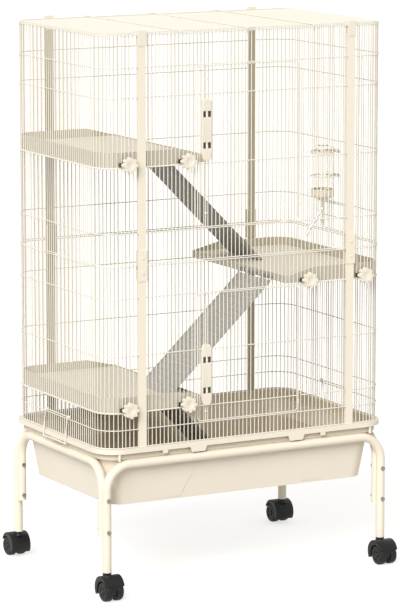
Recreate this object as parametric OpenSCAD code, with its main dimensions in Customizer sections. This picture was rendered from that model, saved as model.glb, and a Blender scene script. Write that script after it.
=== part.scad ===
// Tall wire ferret cage on a tube stand with casters.
// Wire walls in two storeys stand on a plastic base tray. Inside are three plastic shelves with ramps.
// The origin lies on the floor under the middle of the cage. The doors face -Y and the width runs along X.

/* [Wire body] */
// Width of the wire body, between the side walls' wires
body_w = 790; // [770:5:850]
// Depth of the wire body, between the front and back walls' wires
body_d = 497; // [480:1:540]
// Radius of the upright corners
corner_r = 55; // [50:1:60]
// Thickness of the upright wires
wire_d = 2.2; // [2:0.1:2.4]
// Spacing of the upright wires
wire_pitch = 11; // [10.6:0.1:11.4]
// Thickness of the edge wires, jamb wires and hinge wires
edge_d = 3; // [2.6:0.1:3]
// Height of the level wires
rail_h = 2.6; // [2.2:0.1:3]
// Thickness of the level wires across the wall
rail_t = 2.6; // [2.2:0.1:2.8]
// Height of the wires that carry a shelf
carrier_h = 4; // [3:0.1:5]
// Thickness of the wires that carry a shelf
carrier_t = 4.5; // [4.3:0.1:5]

/* [Levels above the tray's rim] */
// Low level wire, the sill of the lower door
sill_low = 45; // [40:1:55]
// Carrier wire of the lower shelf
shelf_low = 87; // [80:1:95]
// Middle level wire of the lower storey
mid_low = 227; // [210:1:240]
// Carrier wire of the middle shelf, the head of the lower door
shelf_mid = 368; // [360:1:380]
// Joint between the two storeys
storey_joint = 447; // [445:1:455]
// Low level wire of the upper storey, the sill of the upper door
sill_high = 525; // [515:1:535]
// Carrier wire of the upper shelf
shelf_high = 684; // [675:1:690]
// Middle level wire of the upper storey
mid_high = 853; // [845:1:865]
// High level wire, the head of the upper door
head_high = 925; // [915:1:935]
// Top of the wire walls
walls_top = 1002.5; // [990:0.5:1015]

/* [Posts] */
// Distance of each post from the middle of the cage
post_x = 292; // [288:1:296]
// Width of a post
post_w = 20; // [18:0.5:22]
// Depth of a post
post_d = 9; // [8.8:0.1:10]
// Depth of the slots in a post's sides that hold the walls
slot_depth = 4.5; // [4:0.1:5]
// How far a post stands above the walls
post_rise = 7.5; // [6:0.5:10]
// Height of the joiners between lower and upper posts
joiner_h = 75; // [60:1:80]
// Wall of the joiners, in front of and behind a post
joiner_wall = 1.85; // [1.5:0.05:2]
// Wall of the joiners at a post's sides
joiner_side = 2.35; // [2:0.05:2.6]
// Length of the caps on the posts
cap_h = 36; // [30:1:45]
// Wall of the caps
cap_wall = 1.5; // [1.2:0.1:1.8]
// Shaft of the joiner screws
screw_d = 3; // [2.5:0.1:3.5]

/* [Doors] */
// Edge of the doors on the latch side, from the middle of the cage
door_left = 140.5; // [139:0.5:141]
// Hinge line of the doors, from the middle of the cage
door_hinge_x = 146; // [145.5:0.5:147]
// Gap above and below a door
door_gap = 1.2; // [1:0.1:2]
// Width of the wire frame of a door
door_frame_w = 3; // [2.6:0.1:3.4]
// Corner radius of the doors
door_corner = 10; // [8:1:14]
// Height of one hinge eye
eye_h = 8; // [6:1:12]
// Width of the feeder door in the right wall
feeder_w = 104; // [100:1:106]

/* [Latches] */
// Thickness of the latch bars
bar_d = 2.6; // [2.2:0.1:2.6]
// Travel of a latch bar from drawn in to locked
bar_travel = 14; // [12:0.5:14]
// Height of a latch plate
plate_h = 151; // [140:1:155]
// Width of a latch plate
plate_w = 28; // [26:0.5:30]
// Thickness of a latch plate
plate_t = 6; // [5.5:0.1:7]
// Distance of the finger windows from the middle of the plate
window_z = 38; // [36:1:42]
// Width of a finger window
window_w = 21; // [18:1:22]
// Height of a finger window
window_h = 19; // [19:0.5:20]
// Height of the upper latch plate above its door's sill
plate_up_high = 240.5; // [238:0.5:244]
// Height of the lower latch plate above its door's sill
plate_up_low = 117.5; // [116:0.5:120]

/* [Shelves] */
// Length of a shelf, from the side wall to the open end
shelf_l = 280; // [272:1:284]
// Height of a shelf's rim above its carrier wire
shelf_rim = 36; // [30:1:40]
// Height of the lip at the open end
shelf_lip = 18; // [17:0.5:24]
// Height of the floor's underside above the skirt's lower edge
shelf_floor_z = 12; // [11.5:0.5:14]
// Wall of a shelf
shelf_wall = 2.5; // [2:0.1:3]
// Corner radius of a shelf at the side wall
shelf_corner = 50; // [46:1:54]
// Length over which the rim falls to the lip
shelf_slope = 80; // [60:5:100]

/* [Shelf knobs] */
// Knobs near the doors, from the middle of the cage, in wire spaces
knob_space = 15.5; // [15.5:1:17.5]
// Knobs outside the posts, from the middle of the cage
knob_out_x = 331; // [329:0.5:333]
// Height of a knob's bolt above the shelf's skirt
knob_up = 6.5; // [6:0.1:6.8]
// Radius of a knob at its lobes
knob_r = 19.5; // [17:0.5:20]
// Thickness of a knob's head
knob_head = 15; // [12:1:18]
// Shaft of the shelf bolts
bolt_d = 5; // [4:0.1:5.4]

/* [Ramps] */
// Width of a ramp
ramp_w = 152; // [120:1:156]
// Thickness of a ramp's board
ramp_t = 5; // [4:0.5:6]
// Height of the ridges on a ramp
ridge_h = 3; // [2:0.5:4]
// Spacing of the ridges
ridge_pitch = 18; // [14:1:24]
// Distance of a ramp's middle from the middle of the cage
ramp_y = 103; // [98:1:108]
// Distance of the ramp pins from the shelf's open end
pin_out = 7; // [6.5:0.1:8]
// Thickness of the ramp pins
pin_d = 4; // [3.5:0.1:4.5]
// How far the upper ramp's foot lies past the middle of the cage
foot_past_high = 205; // [195:1:215]
// How far the middle ramp's foot lies past the middle of the cage
foot_past_mid = 190; // [180:1:200]
// How far the lower ramp's foot lies past the middle of the cage
foot_past_low = 128; // [120:1:140]

/* [Base tray] */
// How far the tray's rim stands out from the walls' wires, at the sides
rim_out_x = 9; // [8:0.5:12]
// How far the tray's rim stands out from the walls' wires, at the front and back
rim_out_y = 9.5; // [8.5:0.5:12]
// Height of the rolled rim
rim_h = 12; // [10:0.5:14]
// Height of the rim above the stand's tubes
rim_up = 28; // [26:0.5:34]
// Height of the tray below the stand's tubes
hopper_h = 118; // [90:1:125]
// How far the tray's sides lean in
hopper_lean = 18; // [10:1:24]
// Wall of the tray
tray_wall = 3; // [2.5:0.1:3.5]

/* [Stand] */
// Height of the top of the stand's tubes
stand_h = 340; // [330:1:400]
// Diameter of the stand's tubes
tube_d = 22; // [20:0.5:22.5]
// Wall of the tubes
tube_wall = 1.5; // [1:0.1:2]
// Distance of the legs from the middle, along the width
leg_x = 389; // [388:0.5:392]
// Distance of the legs from the middle, along the depth
leg_y = 248; // [247.5:0.5:250]
// Bend radius of the tubes
bend_r = 62; // [50:1:70]
// Height of the lower ends of the side frames
side_leg_z = 152; // [140:1:156]
// Height of the upper stand bolts
bolt_high_z = 245; // [230:1:250]
// Height of the lower stand bolts
bolt_low_z = 166; // [163:1:190]

/* [Casters] */
// Height of the legs' lower ends, above the casters
leg_z = 66; // [66:1:72]
// Diameter of the wheels
wheel_d = 50; // [44:1:50]
// Width of one wheel
wheel_w = 20; // [16:0.5:21]
// Distance of the axle behind the swivel
caster_trail = 22; // [20:0.5:24]
// Thickness of the swivel stem
stem_d = 8; // [7:0.5:9]

/* [Tray clips] */
// Half the width of a clip, in wire spaces
clip_space = 5.5; // [3.5:1:6.5]
// Thickness of a clip's wire
clip_d = 3; // [2.5:0.1:3]

/* [Water bottle] */
// Distance of the bottle from the right wall
bottle_in = 43; // [40:1:50]
// Distance of the bottle in front of the cage's middle
bottle_y = 15; // [0:1:30]
// Radius of the bottle
bottle_r = 28; // [24:1:30]
// Height of the bottle's upper end above the sill of the upper door
bottle_top = 152; // [140:1:155]
// Height of the bottle's neck above that sill
bottle_neck = 12; // [8:1:20]

/* [Fits] */
// Gap between pieces that rest on each other
seat = 0.3; // [0.2:0.05:0.4]
// Gap round a hinge wire, on the radius
hinge_fit = 0.05; // [0.03:0.01:0.1]
// Gap round a sliding bar or a bolt, on the radius
slide_fit = 0.2; // [0.15:0.05:0.25]
// How deep crossing wires are welded into each other
weld = 0.3; // [0.2:0.05:0.4]

/* [Hidden] */

cream = [0.98, 0.94, 0.84];
shelf_cream = [0.93, 0.88, 0.76];
tray_cream = [0.94, 0.9, 0.81];
ramp_grey = [0.55, 0.56, 0.57];
caster_black = [0.06, 0.06, 0.07];
steel = [0.72, 0.72, 0.7];
clear_blue = [0.86, 0.9, 0.92];

// Body
hw = body_w / 2;
hd = body_d / 2;
wire_r = wire_d / 2;
rail_in = wire_r - weld;          // near face of the rails, outside the wires' middle line
rail_out = rail_in + rail_t;      // far face of the rails
carrier_in = rail_in + carrier_t; // far face of the carriers, inside the wires' middle line

// Levels
rim_z = stand_h + rim_up;
wall_z0 = rim_z + seat;
level_sill_low = rim_z + sill_low;
level_shelf_low = rim_z + shelf_low;
level_mid_low = rim_z + mid_low;
level_shelf_mid = rim_z + shelf_mid;
level_joint = rim_z + storey_joint;
level_sill_high = rim_z + sill_high;
level_shelf_high = rim_z + shelf_high;
level_mid_high = rim_z + mid_high;
level_head_high = rim_z + head_high;
top_z = rim_z + walls_top;
storey_gap = 0.9;                 // half the gap between the two storeys
lower_z = [wall_z0, level_joint - storey_gap];
upper_z = [level_joint + storey_gap, top_z];
lower_rails = [wall_z0 + rail_h / 2, level_sill_low, level_shelf_low, level_mid_low, level_shelf_mid,
  level_joint - storey_gap - rail_h / 2];
upper_rails = [level_joint + storey_gap + rail_h / 2, level_sill_high, level_shelf_high,
  level_mid_high, level_head_high, top_z - rail_h / 2];

// Posts
slot_y = [-rail_out - seat, edge_d / 2 + seat]; // the slot, outwards and inwards of the wires' line
post_mid_y = hd + 0.8;                          // middle of the posts, just outside the wires' line
wall_edge_x = post_x - post_w / 2 + slot_depth - 1 - edge_d / 2;       // edge wires between the posts
side_edge_x = post_x + post_w / 2 - slot_depth + 1 + edge_d / 2;       // edge wires outside the posts
joiner_w = post_w + 2 * slide_fit + 2 * joiner_side;
joiner_d = post_d + 2 * slide_fit + 2 * joiner_wall;
joiner_z = level_joint - joiner_h / 2 - 1.5;
clear_of_joiner = joiner_w / 2 + wire_r + seat;
cap_z = top_z + post_rise + seat + cap_wall;

// Doors
frame_y = hd + rail_in;               // inner face of the doors' frames
sill_of_low = level_sill_low + rail_h / 2;
head_of_low = level_shelf_mid - rail_h / 2;
sill_of_high = level_sill_high + rail_h / 2;
head_of_high = level_head_high - rail_h / 2;
hinge_gap = 2.6;                      // from the hinge line to the door's frame
door_right = door_hinge_x - hinge_gap;
jamb_x = door_left + 5;               // jamb wire on the latch side
eye_r = edge_d / 2 + 1.5;
feeder_y0 = -feeder_w / 2 + 5;        // opening of the feeder door, along the right wall
feeder_y1 = feeder_w / 2 + 5;
feeder_sill = level_joint + storey_gap + rail_h;
feeder_head = level_sill_high - rail_h / 2;

// Latches
// A latch plate stays 5 mm clear of its door's frame
latch_reach = door_left - door_frame_w - plate_w / 2 - 5;
latch_x = -(floor(latch_reach / wire_pitch - 0.5) + 0.5) * wire_pitch; // midway between two upright wires
bar_y = hd - 0.8;                     // middle of the latch bars, just inside the doors' frames
plate_back = hd + wire_r + seat;      // back face of the latch plates
web_w = wire_pitch - wire_d - 1.4;    // the plate's web, between two wires
web_h = 120;
finger_w = 5;
finger_h = 3.5;
plate_z_high = level_sill_high + plate_up_high;
plate_z_low = level_sill_low + plate_up_low;
bar_tip_gap = 0.7;                    // from a drawn-in bar to the frame wire

// Shelves
shelf_out_x = hw - 2.5;
shelf_end_x = shelf_out_x - shelf_l;
shelf_hd = hd - 4;
shelf_lift = carrier_h / 2 + seat;    // lower edge of the skirt above the carrier's middle

// Knobs
knob_in_x = knob_space * wire_pitch;
clamp_y = hd + wire_r + seat;         // back face of the clamp plates
clamp_t = 2;
knob_y = clamp_y + clamp_t + seat;    // back face of the knobs

// Ramps
pin_up = 9;                           // the pins above the skirt's lower edge
ramp_drop = 6;                        // the board's top below the pin's middle

// Tray
rim_x = hw + rim_out_x;
rim_y = hd + rim_out_y;
rim_r = corner_r + 7;
neck_x = rim_x - 12;
neck_y = rim_y - 12;
hopper_x = leg_x - tube_d / 2 - seat;
hopper_y = leg_y - tube_d / 2 - seat;
hopper_z = stand_h - hopper_h;

// Stand
side_leg_y = leg_y - tube_d - 0.4;    // the side frames' legs stand just inside the front and back legs
tube_mid_z = stand_h - tube_d / 2;

// Clips
clip_eye_r = edge_d / 2 + 2.5;
clip_z = level_sill_low + rail_h / 2 + clip_eye_r + seat;
clip_x = hw + wire_r + edge_d / 2 - weld;
clip_y = clip_space * wire_pitch;

// Bottle
bottle_x = hw - bottle_in;
bottle_z1 = level_sill_high + bottle_top;
bottle_z0 = level_sill_high + bottle_neck;

// ---------------------------------------------------------------- shared shapes

// A rectangle with rounded corners, hx and hy being its half sizes
module rounded(hx, hy, r) {
  square([2 * (hx - r), 2 * hy], center = true);
  square([2 * hx, 2 * (hy - r)], center = true);
  for (sx = [-1, 1], sy = [-1, 1])
    translate([sx * (hx - r), sy * (hy - r)]) circle(r = r, $fn = 96);
}

// The outline of the wire body, grown outwards by out
module body_outline(out) {
  rounded(hw + out, hd + out, corner_r + out);
}

// A band round the wire body between two distances from the wires' line
module body_band(near, far) {
  difference() {
    body_outline(max(near, far));
    body_outline(min(near, far));
  }
}

module at_z(z, h) {
  translate([0, 0, z - h / 2]) linear_extrude(h) children();
}

// One upright wire
module upright(x, y, z0, z1, d = wire_d) {
  translate([x, y, z0]) cylinder(d = d, h = z1 - z0, $fn = 24);
}

// A round bar between two heights along an axis: "x" or "y"
module bar_x(p, length, d, fn = 24) {
  translate(p) rotate([0, 90, 0]) cylinder(d = d, h = length, $fn = fn);
}
module bar_y(p, length, d, fn = 24) {
  translate(p) rotate([-90, 0, 0]) cylinder(d = d, h = length, $fn = fn);
}

module each_post() {
  for (sx = [-1, 1], sy = [-1, 1])
    translate([sx * post_x, 0, 0]) mirror([0, sy > 0 ? 1 : 0, 0]) translate([0, -post_mid_y, 0]) children();
}

module each_leg() {
  for (sx = [0, 1], sy = [0, 1])
    mirror([sx, 0, 0]) mirror([0, sy, 0]) translate([-leg_x, -leg_y, 0]) children();
}

// ---------------------------------------------------------------- wire walls

// A side wall: half of the body's outline, from the front post round to the back post. It is the left one.
module side_wall(z, rails, carriers, open_y = [0, 0], open_z = [0, 0]) {
  straight = floor((hd - corner_r) / wire_pitch);
  steps = round(corner_r * PI / 2 / wire_pitch);
  // wires of the straight side, with any opening left free
  for (k = [-straight:straight]) {
    y = k * wire_pitch;
    if (y > open_y[0] - wire_d && y < open_y[1] + wire_d && open_z[1] > open_z[0]) {
      if (open_z[0] - z[0] > 2 * rail_h) upright(-hw, y, z[0], open_z[0]);
      upright(-hw, y, open_z[1], z[1]);
    } else {
      upright(-hw, y, z[0], z[1]);
    }
  }
  // wires of the two corners
  for (sy = [-1, 1], i = [0:steps - 1]) {
    a = (i + 0.5) * 90 / steps;
    upright(-hw + corner_r - corner_r * cos(a), sy * (hd - corner_r + corner_r * sin(a)), z[0], z[1]);
  }
  // wires of the two short ends, laid out round the outer knobs, and the edge wires in the posts' slots
  for (sy = [-1, 1]) {
    for (k = [-3:5]) {
      x = knob_out_x + wire_pitch * (k + 0.5);
      if (x > post_x + clear_of_joiner && x < hw - corner_r + 1) upright(-x, sy * hd, z[0], z[1]);
    }
    upright(-side_edge_x, sy * hd, z[0], z[1], edge_d);
  }
  // level wires outside the uprights
  for (level = rails)
    at_z(level, rail_h) intersection() {
      body_band(rail_in, rail_out);
      translate([-2 * hw - side_edge_x, -hw]) square([2 * hw, 2 * hw]);
    }
  // carriers inside the uprights
  for (level = carriers)
    at_z(level, carrier_h) intersection() {
      body_band(-rail_in, -carrier_in);
      translate([-2 * hw - post_x - clear_of_joiner, -hw]) square([2 * hw, 2 * hw]);
    }
}

// A straight wall between two posts. It is the front one. An opening runs from the jamb to the hinge wire.
// Each carrier is given as its level and its side, -1 or 1.
module straight_wall(z, rails, carriers, open_z = [0, 0]) {
  opened = open_z[1] > open_z[0];
  last = floor((post_x - clear_of_joiner) / wire_pitch);
  for (k = [-last:last]) {
    x = k * wire_pitch;
    if (opened && x > -jamb_x - wire_r && x < door_hinge_x + wire_r) {
      upright(x, -hd, z[0], open_z[0]);
      upright(x, -hd, open_z[1], z[1]);
    } else {
      upright(x, -hd, z[0], z[1]);
    }
  }
  for (sx = [-1, 1]) upright(sx * wall_edge_x, -hd, z[0], z[1], edge_d);
  if (opened) for (x = [-jamb_x, door_hinge_x]) upright(x, -hd, open_z[0] - weld, open_z[1] + weld, edge_d);
  for (level = rails) {
    between = opened && level > open_z[0] && level < open_z[1];
    left = [-wall_edge_x, between ? -jamb_x : wall_edge_x];
    translate([left[0], -hd - rail_out, level - rail_h / 2]) cube([left[1] - left[0], rail_t, rail_h]);
    right_x = door_hinge_x + 6;
    if (between)
      translate([right_x, -hd - rail_out, level - rail_h / 2]) cube([wall_edge_x - right_x, rail_t, rail_h]);
  }
  for (carrier = carriers) straight_carrier(carrier[0], carrier[1]);
}

module wall_left_lower() {
  color(cream) {
    side_wall(lower_z, lower_rails, [level_shelf_low]);
    clip_pivot();
  }
}
module wall_right_lower() {
  color(cream) mirror([1, 0, 0]) {
    side_wall(lower_z, lower_rails, [level_shelf_mid]);
    clip_pivot();
  }
}
low_carriers = [[level_shelf_low, -1], [level_shelf_mid, 1]];
high_carriers = [[level_shelf_high, -1]];
module wall_front_lower() {
  color(cream) straight_wall(lower_z, lower_rails, low_carriers, [sill_of_low, head_of_low]);
}
module wall_back_lower() {
  color(cream) mirror([0, 1, 0]) straight_wall(lower_z, lower_rails, low_carriers);
}
module wall_left_upper() {
  color(cream) side_wall(upper_z, upper_rails, [level_shelf_high]);
}
module wall_right_upper() {
  color(cream) {
    mirror([1, 0, 0])
      side_wall(upper_z, upper_rails, [], [feeder_y0, feeder_y1], [feeder_sill, feeder_head]);
    // jamb wire and hinge wire of the feeder door
    for (y = [feeder_y0, feeder_y1]) upright(hw, y, feeder_sill - weld, feeder_head + weld, edge_d);
  }
}
module wall_front_upper() {
  color(cream) straight_wall(upper_z, upper_rails, high_carriers, [sill_of_high, head_of_high]);
}
module wall_back_upper() {
  color(cream) mirror([0, 1, 0]) straight_wall(upper_z, upper_rails, high_carriers);
}

// A carrier on the inside of a straight wall, on one side of the doors
carrier_x = shelf_end_x + 40;
module straight_carrier(level, side) {
  mirror([side < 0 ? 1 : 0, 0, 0]) translate([carrier_x, -hd + rail_in, level - carrier_h / 2])
    cube([post_x - clear_of_joiner - carrier_x, carrier_t, carrier_h]);
}

// The round wire on a side wall that a tray clip turns on
module clip_pivot() {
  past_eyes = 12;
  bar_y([-clip_x, -clip_y - past_eyes, clip_z], 2 * (clip_y + past_eyes), edge_d);
}

// Top panel: close wires along the width on a ring, with three cross bars that hook over the walls
top_ring_x = hw + rail_out - 1;
top_ring_y = post_mid_y - post_d / 2 - slide_fit - cap_wall - seat;
ring_w = 3;
ring_t = 2.2;
bar_positions = [-190, -5, 182];
cross_bar_w = 3.2;
cross_bar_h = 3;
hook_drop = 10;
module top_panel() {
  ring_z = top_z + seat;
  wires_z = ring_z + ring_t + wire_r - weld;
  bars_z = wires_z + wire_r - weld;
  ring_r = corner_r - 3;
  rows = floor((top_ring_y - 6) / wire_pitch);
  color(cream) {
    translate([0, 0, ring_z]) linear_extrude(ring_t) difference() {
      rounded(top_ring_x, top_ring_y, ring_r);
      rounded(top_ring_x - ring_w, top_ring_y - ring_w, ring_r - ring_w);
    }
    for (k = [-rows:rows]) {
      y = k * wire_pitch;
      into_corner = max(0, abs(y) - (top_ring_y - ring_r));
      reach = top_ring_x - ring_r + sqrt(ring_r * ring_r - into_corner * into_corner) - ring_w / 2;
      bar_x([-reach, y, wires_z], 2 * reach, wire_d);
    }
    hook_y = hd + rail_out + seat;
    for (x = bar_positions) {
      translate([x - cross_bar_w / 2, -hook_y - cross_bar_h, bars_z])
        cube([cross_bar_w, 2 * (hook_y + cross_bar_h), cross_bar_h]);
      for (sy = [0, 1]) mirror([0, sy, 0])
        translate([x - cross_bar_w / 2, -hook_y - cross_bar_h, bars_z - hook_drop])
          cube([cross_bar_w, cross_bar_h, hook_drop + cross_bar_h]);
    }
  }
}

// ---------------------------------------------------------------- posts

module post_section() {
  wall = 1.5;
  difference() {
    square([post_w, post_d], center = true);
    for (sx = [-1, 1])
      translate([sx > 0 ? post_w / 2 - slot_depth : -post_w / 2 - 1, post_mid_y - hd + slot_y[0]])
        square([slot_depth + 1, slot_y[1] - slot_y[0]]);
    // the hollow middle
    square([post_w - 2 * slot_depth - 2 * wall, post_d - 2 * wall - 1], center = true);
  }
}

module post(z0, z1, screw_z) {
  difference() {
    translate([0, 0, z0]) linear_extrude(z1 - z0) post_section();
    bar_y([0, -post_d, screw_z], 2 * post_d, screw_d + 2 * slide_fit);
  }
}

joint_screws = [level_joint - 20, level_joint + 17];
module posts_lower() {
  color(cream) each_post() post(wall_z0, level_joint - seat, joint_screws[0]);
}
module posts_upper() {
  color(cream) each_post() post(level_joint, top_z + post_rise, joint_screws[1]);
}

// Joiners: a front and a back half round each pair of posts, open at the sides for the walls
module joiner_half(y_sign) {
  inner_w = post_w + 2 * slide_fit;
  inner_d = post_d + 2 * slide_fit;
  lip = post_mid_y - hd; // the slot lies off the post's middle by this much
  lip_y = y_sign < 0 ? slot_y[0] + lip - seat : -(slot_y[1] + lip) - seat;
  translate([0, 0, joiner_z]) difference() {
    mirror([0, y_sign < 0 ? 0 : 1, 0])
      linear_extrude(joiner_h) difference() {
        translate([-joiner_w / 2, -joiner_d / 2]) square([joiner_w, joiner_d / 2 + lip_y]);
        translate([-inner_w / 2, -inner_d / 2]) square([inner_w, inner_d]);
      }
    for (z = joint_screws)
      bar_y([0, -joiner_d, z - joiner_z], 2 * joiner_d, screw_d + 2 * slide_fit);
  }
}
module post_joiners() {
  color(cream) each_post() {
    joiner_half(-1);
    joiner_half(1);
  }
}

module joiner_screws() {
  head_h = 1.8;
  color(steel) each_post() for (z = joint_screws) {
    bar_y([0, -joiner_d / 2 - seat, z], joiner_d + seat, screw_d);
    bar_y([0, -joiner_d / 2 - seat - head_h, z], head_h, 2 * screw_d);
  }
}

module post_caps() {
  w = post_w + 2 * slide_fit + 2 * cap_wall;
  d = post_d + 2 * slide_fit + 2 * cap_wall;
  slot = [slot_y[0] + post_mid_y - hd - seat, slot_y[1] + post_mid_y - hd + seat];
  color(cream) each_post() translate([0, 0, cap_z - cap_h]) difference() {
    linear_extrude(cap_h) {
      square([w, d - 2], center = true);
      square([w - 2, d], center = true);
      for (sx = [-1, 1], sy = [-1, 1])
        translate([sx * (w / 2 - 1), sy * (d / 2 - 1)]) circle(r = 1, $fn = 24);
    }
    // the pocket for the post
    translate([0, 0, -1]) linear_extrude(cap_h + 1 - cap_wall)
      square([post_w + 2 * slide_fit, post_d + 2 * slide_fit], center = true);
    // the slots that let the walls in from both sides
    translate([-w, slot[0], -1]) cube([2 * w, slot[1] - slot[0], top_z + seat - (cap_z - cap_h) + 1]);
  }
}

// ---------------------------------------------------------------- doors and latches

// A wire ring standing in the wall's plane, in X and Z, with rounded corners
module door_ring(x0, x1, z0, z1, r, w) {
  translate([(x0 + x1) / 2, -frame_y, (z0 + z1) / 2]) rotate([90, 0, 0]) linear_extrude(rail_t) difference() {
    rounded((x1 - x0) / 2, (z1 - z0) / 2, r);
    rounded((x1 - x0) / 2 - w, (z1 - z0) / 2 - w, r - w);
  }
}

// An eye round a hinge wire, tied to the door's frame.
// The hinge line is the origin and the door lies towards -X.
module hinge_eye() {
  difference() {
    union() {
      cylinder(r = eye_r, h = eye_h, $fn = 32);
      translate([-hinge_gap - 2, -rail_out + 0.4, 1]) cube([hinge_gap + 0.8, rail_t - 0.5, eye_h - 2]);
    }
    translate([0, 0, -1]) cylinder(r = edge_d / 2 + hinge_fit, h = eye_h + 2, $fn = 32);
  }
}

// A guide that holds the latch bar between two wires
module bar_guide(z) {
  half = wire_pitch / 2 - wire_r + weld;
  translate([latch_x - half, -bar_y - bar_d / 2 - 1.2, z - 2]) difference() {
    cube([2 * half, bar_d + 2.4, 4]);
    translate([half, bar_d / 2 + 1.2, -1]) cylinder(r = bar_d / 2 + slide_fit, h = 6, $fn = 24);
  }
}

module wire_door(z0, z1, rails, eyes, guides) {
  door_ring(-door_left, door_right, z0, z1, door_corner, door_frame_w);
  count = floor((door_left - door_frame_w) / wire_pitch);
  for (k = [-count:count]) {
    x = k * wire_pitch;
    // a wire that lands in a corner of the ring is shorter
    near = max(0, door_corner - (x + door_left), door_corner - (door_right - x));
    rise = near > 0 ? door_corner - sqrt(door_corner * door_corner - near * near) : 0;
    upright(x, -hd, z0 + rise + 1, z1 - rise - 1);
  }
  for (level = rails)
    translate([-door_left + 1, -hd - rail_out, level - rail_h / 2])
      cube([door_left + door_right - 2, rail_t, rail_h]);
  for (z = eyes) translate([door_hinge_x, -hd, z - eye_h / 2]) hinge_eye();
  for (z = guides) bar_guide(z);
}

module door_upper() {
  color(cream) wire_door(sill_of_high + door_gap, head_of_high - door_gap, [level_shelf_high, level_mid_high],
    [sill_of_high + 40, (sill_of_high + head_of_high) / 2, head_of_high - 40],
    [sill_of_high + 36, head_of_high - 36]);
}
module door_lower() {
  color(cream) wire_door(sill_of_low + door_gap, head_of_low - door_gap, [level_shelf_low, level_mid_low],
    [sill_of_low + 26, (sill_of_low + head_of_low) / 2, head_of_low - 40],
    [sill_of_low + 25, head_of_low - 33]);
}

// The feeder door in the right wall, hinged on its wire at the back
module feeder_door() {
  z0 = feeder_sill + door_gap;
  z1 = feeder_head - door_gap;
  ring_x0 = feeder_y0 + 5 - edge_d;
  ring_x1 = feeder_y1 - hinge_gap;
  count = floor((ring_x1 - ring_x0) / wire_pitch);
  color(cream) translate([hw - hd, 0, 0]) rotate([0, 0, 90]) {
    // here X runs along the wall, and the wall's wires lie at -hd
    door_ring(ring_x0, ring_x1, z0, z1, 6, door_frame_w);
    for (k = [-count:count]) {
      x = k * wire_pitch;
      if (x > ring_x0 + 4 && x < ring_x1 - 4) upright(x, -hd, z0 + 1, z1 - 1);
    }
    translate([ring_x0 + 1, -hd - rail_out, (z0 + z1) / 2 - rail_h / 2])
      cube([ring_x1 - ring_x0 - 2, rail_t, rail_h]);
    for (z = [z0 + 16, z1 - 16]) translate([feeder_y1, -hd, z - eye_h / 2]) hinge_eye();
  }
}

// A latch plate: a tapered plastic plate with two finger windows and a web that guides both bars
module latch_plate(z_mid, notches) {
  half_w = plate_w / 2;
  end_w = half_w - 6;
  taper = 12;
  groove_r = 2;
  color(shelf_cream) translate([latch_x, 0, z_mid]) difference() {
    union() {
      translate([0, -plate_back, 0]) rotate([90, 0, 0]) linear_extrude(plate_t)
        polygon([[-half_w, -plate_h / 2 + taper], [-end_w, -plate_h / 2], [end_w, -plate_h / 2],
          [half_w, -plate_h / 2 + taper], [half_w, plate_h / 2 - taper], [end_w, plate_h / 2],
          [-end_w, plate_h / 2], [-half_w, plate_h / 2 - taper]]);
      translate([-web_w / 2, -plate_back - 1, -web_h / 2])
        cube([web_w, plate_back + 1 - bar_y + bar_d / 2 + 1.2, web_h]);
    }
    // the bore for the bars
    translate([0, -bar_y, -plate_h]) cylinder(r = bar_d / 2 + slide_fit, h = 2 * plate_h, $fn = 24);
    // the finger windows
    for (sz = [-1, 1])
      translate([-window_w / 2, -plate_back - plate_t - 1, sz * window_z - window_h / 2])
        cube([window_w, 2 * plate_t + 6, window_h]);
    // grip grooves across the plate
    for (sz = [-1, 1], dz = [14, 20])
      bar_x([-plate_w, -plate_back - plate_t - groove_r / 2, sz * (window_z + dz)], 2 * plate_w, 2 * groove_r);
    // room for a level wire behind the plate
    for (z = notches)
      translate([-plate_w, -hd - rail_out - seat, z - z_mid - rail_h / 2 - seat])
        cube([2 * plate_w, rail_out - wire_r + seat, rail_h + 2 * seat]);
  }
}

module latch_plate_upper() {
  latch_plate(plate_z_high, []);
}
module latch_plate_lower() {
  latch_plate(plate_z_low, [level_shelf_low, level_mid_low]);
}

// A latch bar with its finger tab, drawn in.
// dir is 1 for a bar that points up and -1 for one that points down.
module latch_bar(z_mid, tip, dir) {
  root = z_mid + dir * (bar_travel / 2 + 9);
  tab = z_mid + dir * (window_z - window_h / 2 + 0.6 + finger_h / 2);
  color(cream) {
    translate([latch_x, -bar_y, min(root, tip)]) cylinder(d = bar_d, h = abs(tip - root), $fn = 24);
    translate([latch_x - finger_w / 2, -plate_back - plate_t + 1, tab - finger_h / 2])
      cube([finger_w, plate_back + plate_t - 1 - bar_y, finger_h]);
  }
}
module latch_bar_upper_top() {
  latch_bar(plate_z_high, head_of_high - bar_tip_gap, 1);
}
module latch_bar_upper_bottom() {
  latch_bar(plate_z_high, sill_of_high + bar_tip_gap, -1);
}
module latch_bar_lower_top() {
  latch_bar(plate_z_low, head_of_low - bar_tip_gap, 1);
}
module latch_bar_lower_bottom() {
  latch_bar(plate_z_low, sill_of_low + bar_tip_gap, -1);
}

// ---------------------------------------------------------------- shelves, knobs and ramps

// The outline of a shelf at the left wall, shrunk by in
module shelf_outline(in) {
  inner_r = 8;
  x0 = -shelf_out_x + in;
  x1 = -shelf_end_x - in;
  y = shelf_hd - in;
  r = shelf_corner - in;
  translate([x0 + r, -y]) square([x1 - x0 - r - inner_r, 2 * y]);
  translate([x0, -y + r]) square([r, 2 * (y - r)]);
  translate([x1 - inner_r, -y + inner_r]) square([inner_r, 2 * (y - inner_r)]);
  for (sy = [-1, 1]) {
    translate([x0 + r, sy * (y - r)]) circle(r = r, $fn = 96);
    translate([x1 - inner_r, sy * (y - inner_r)]) circle(r = inner_r, $fn = 48);
  }
}

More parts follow.
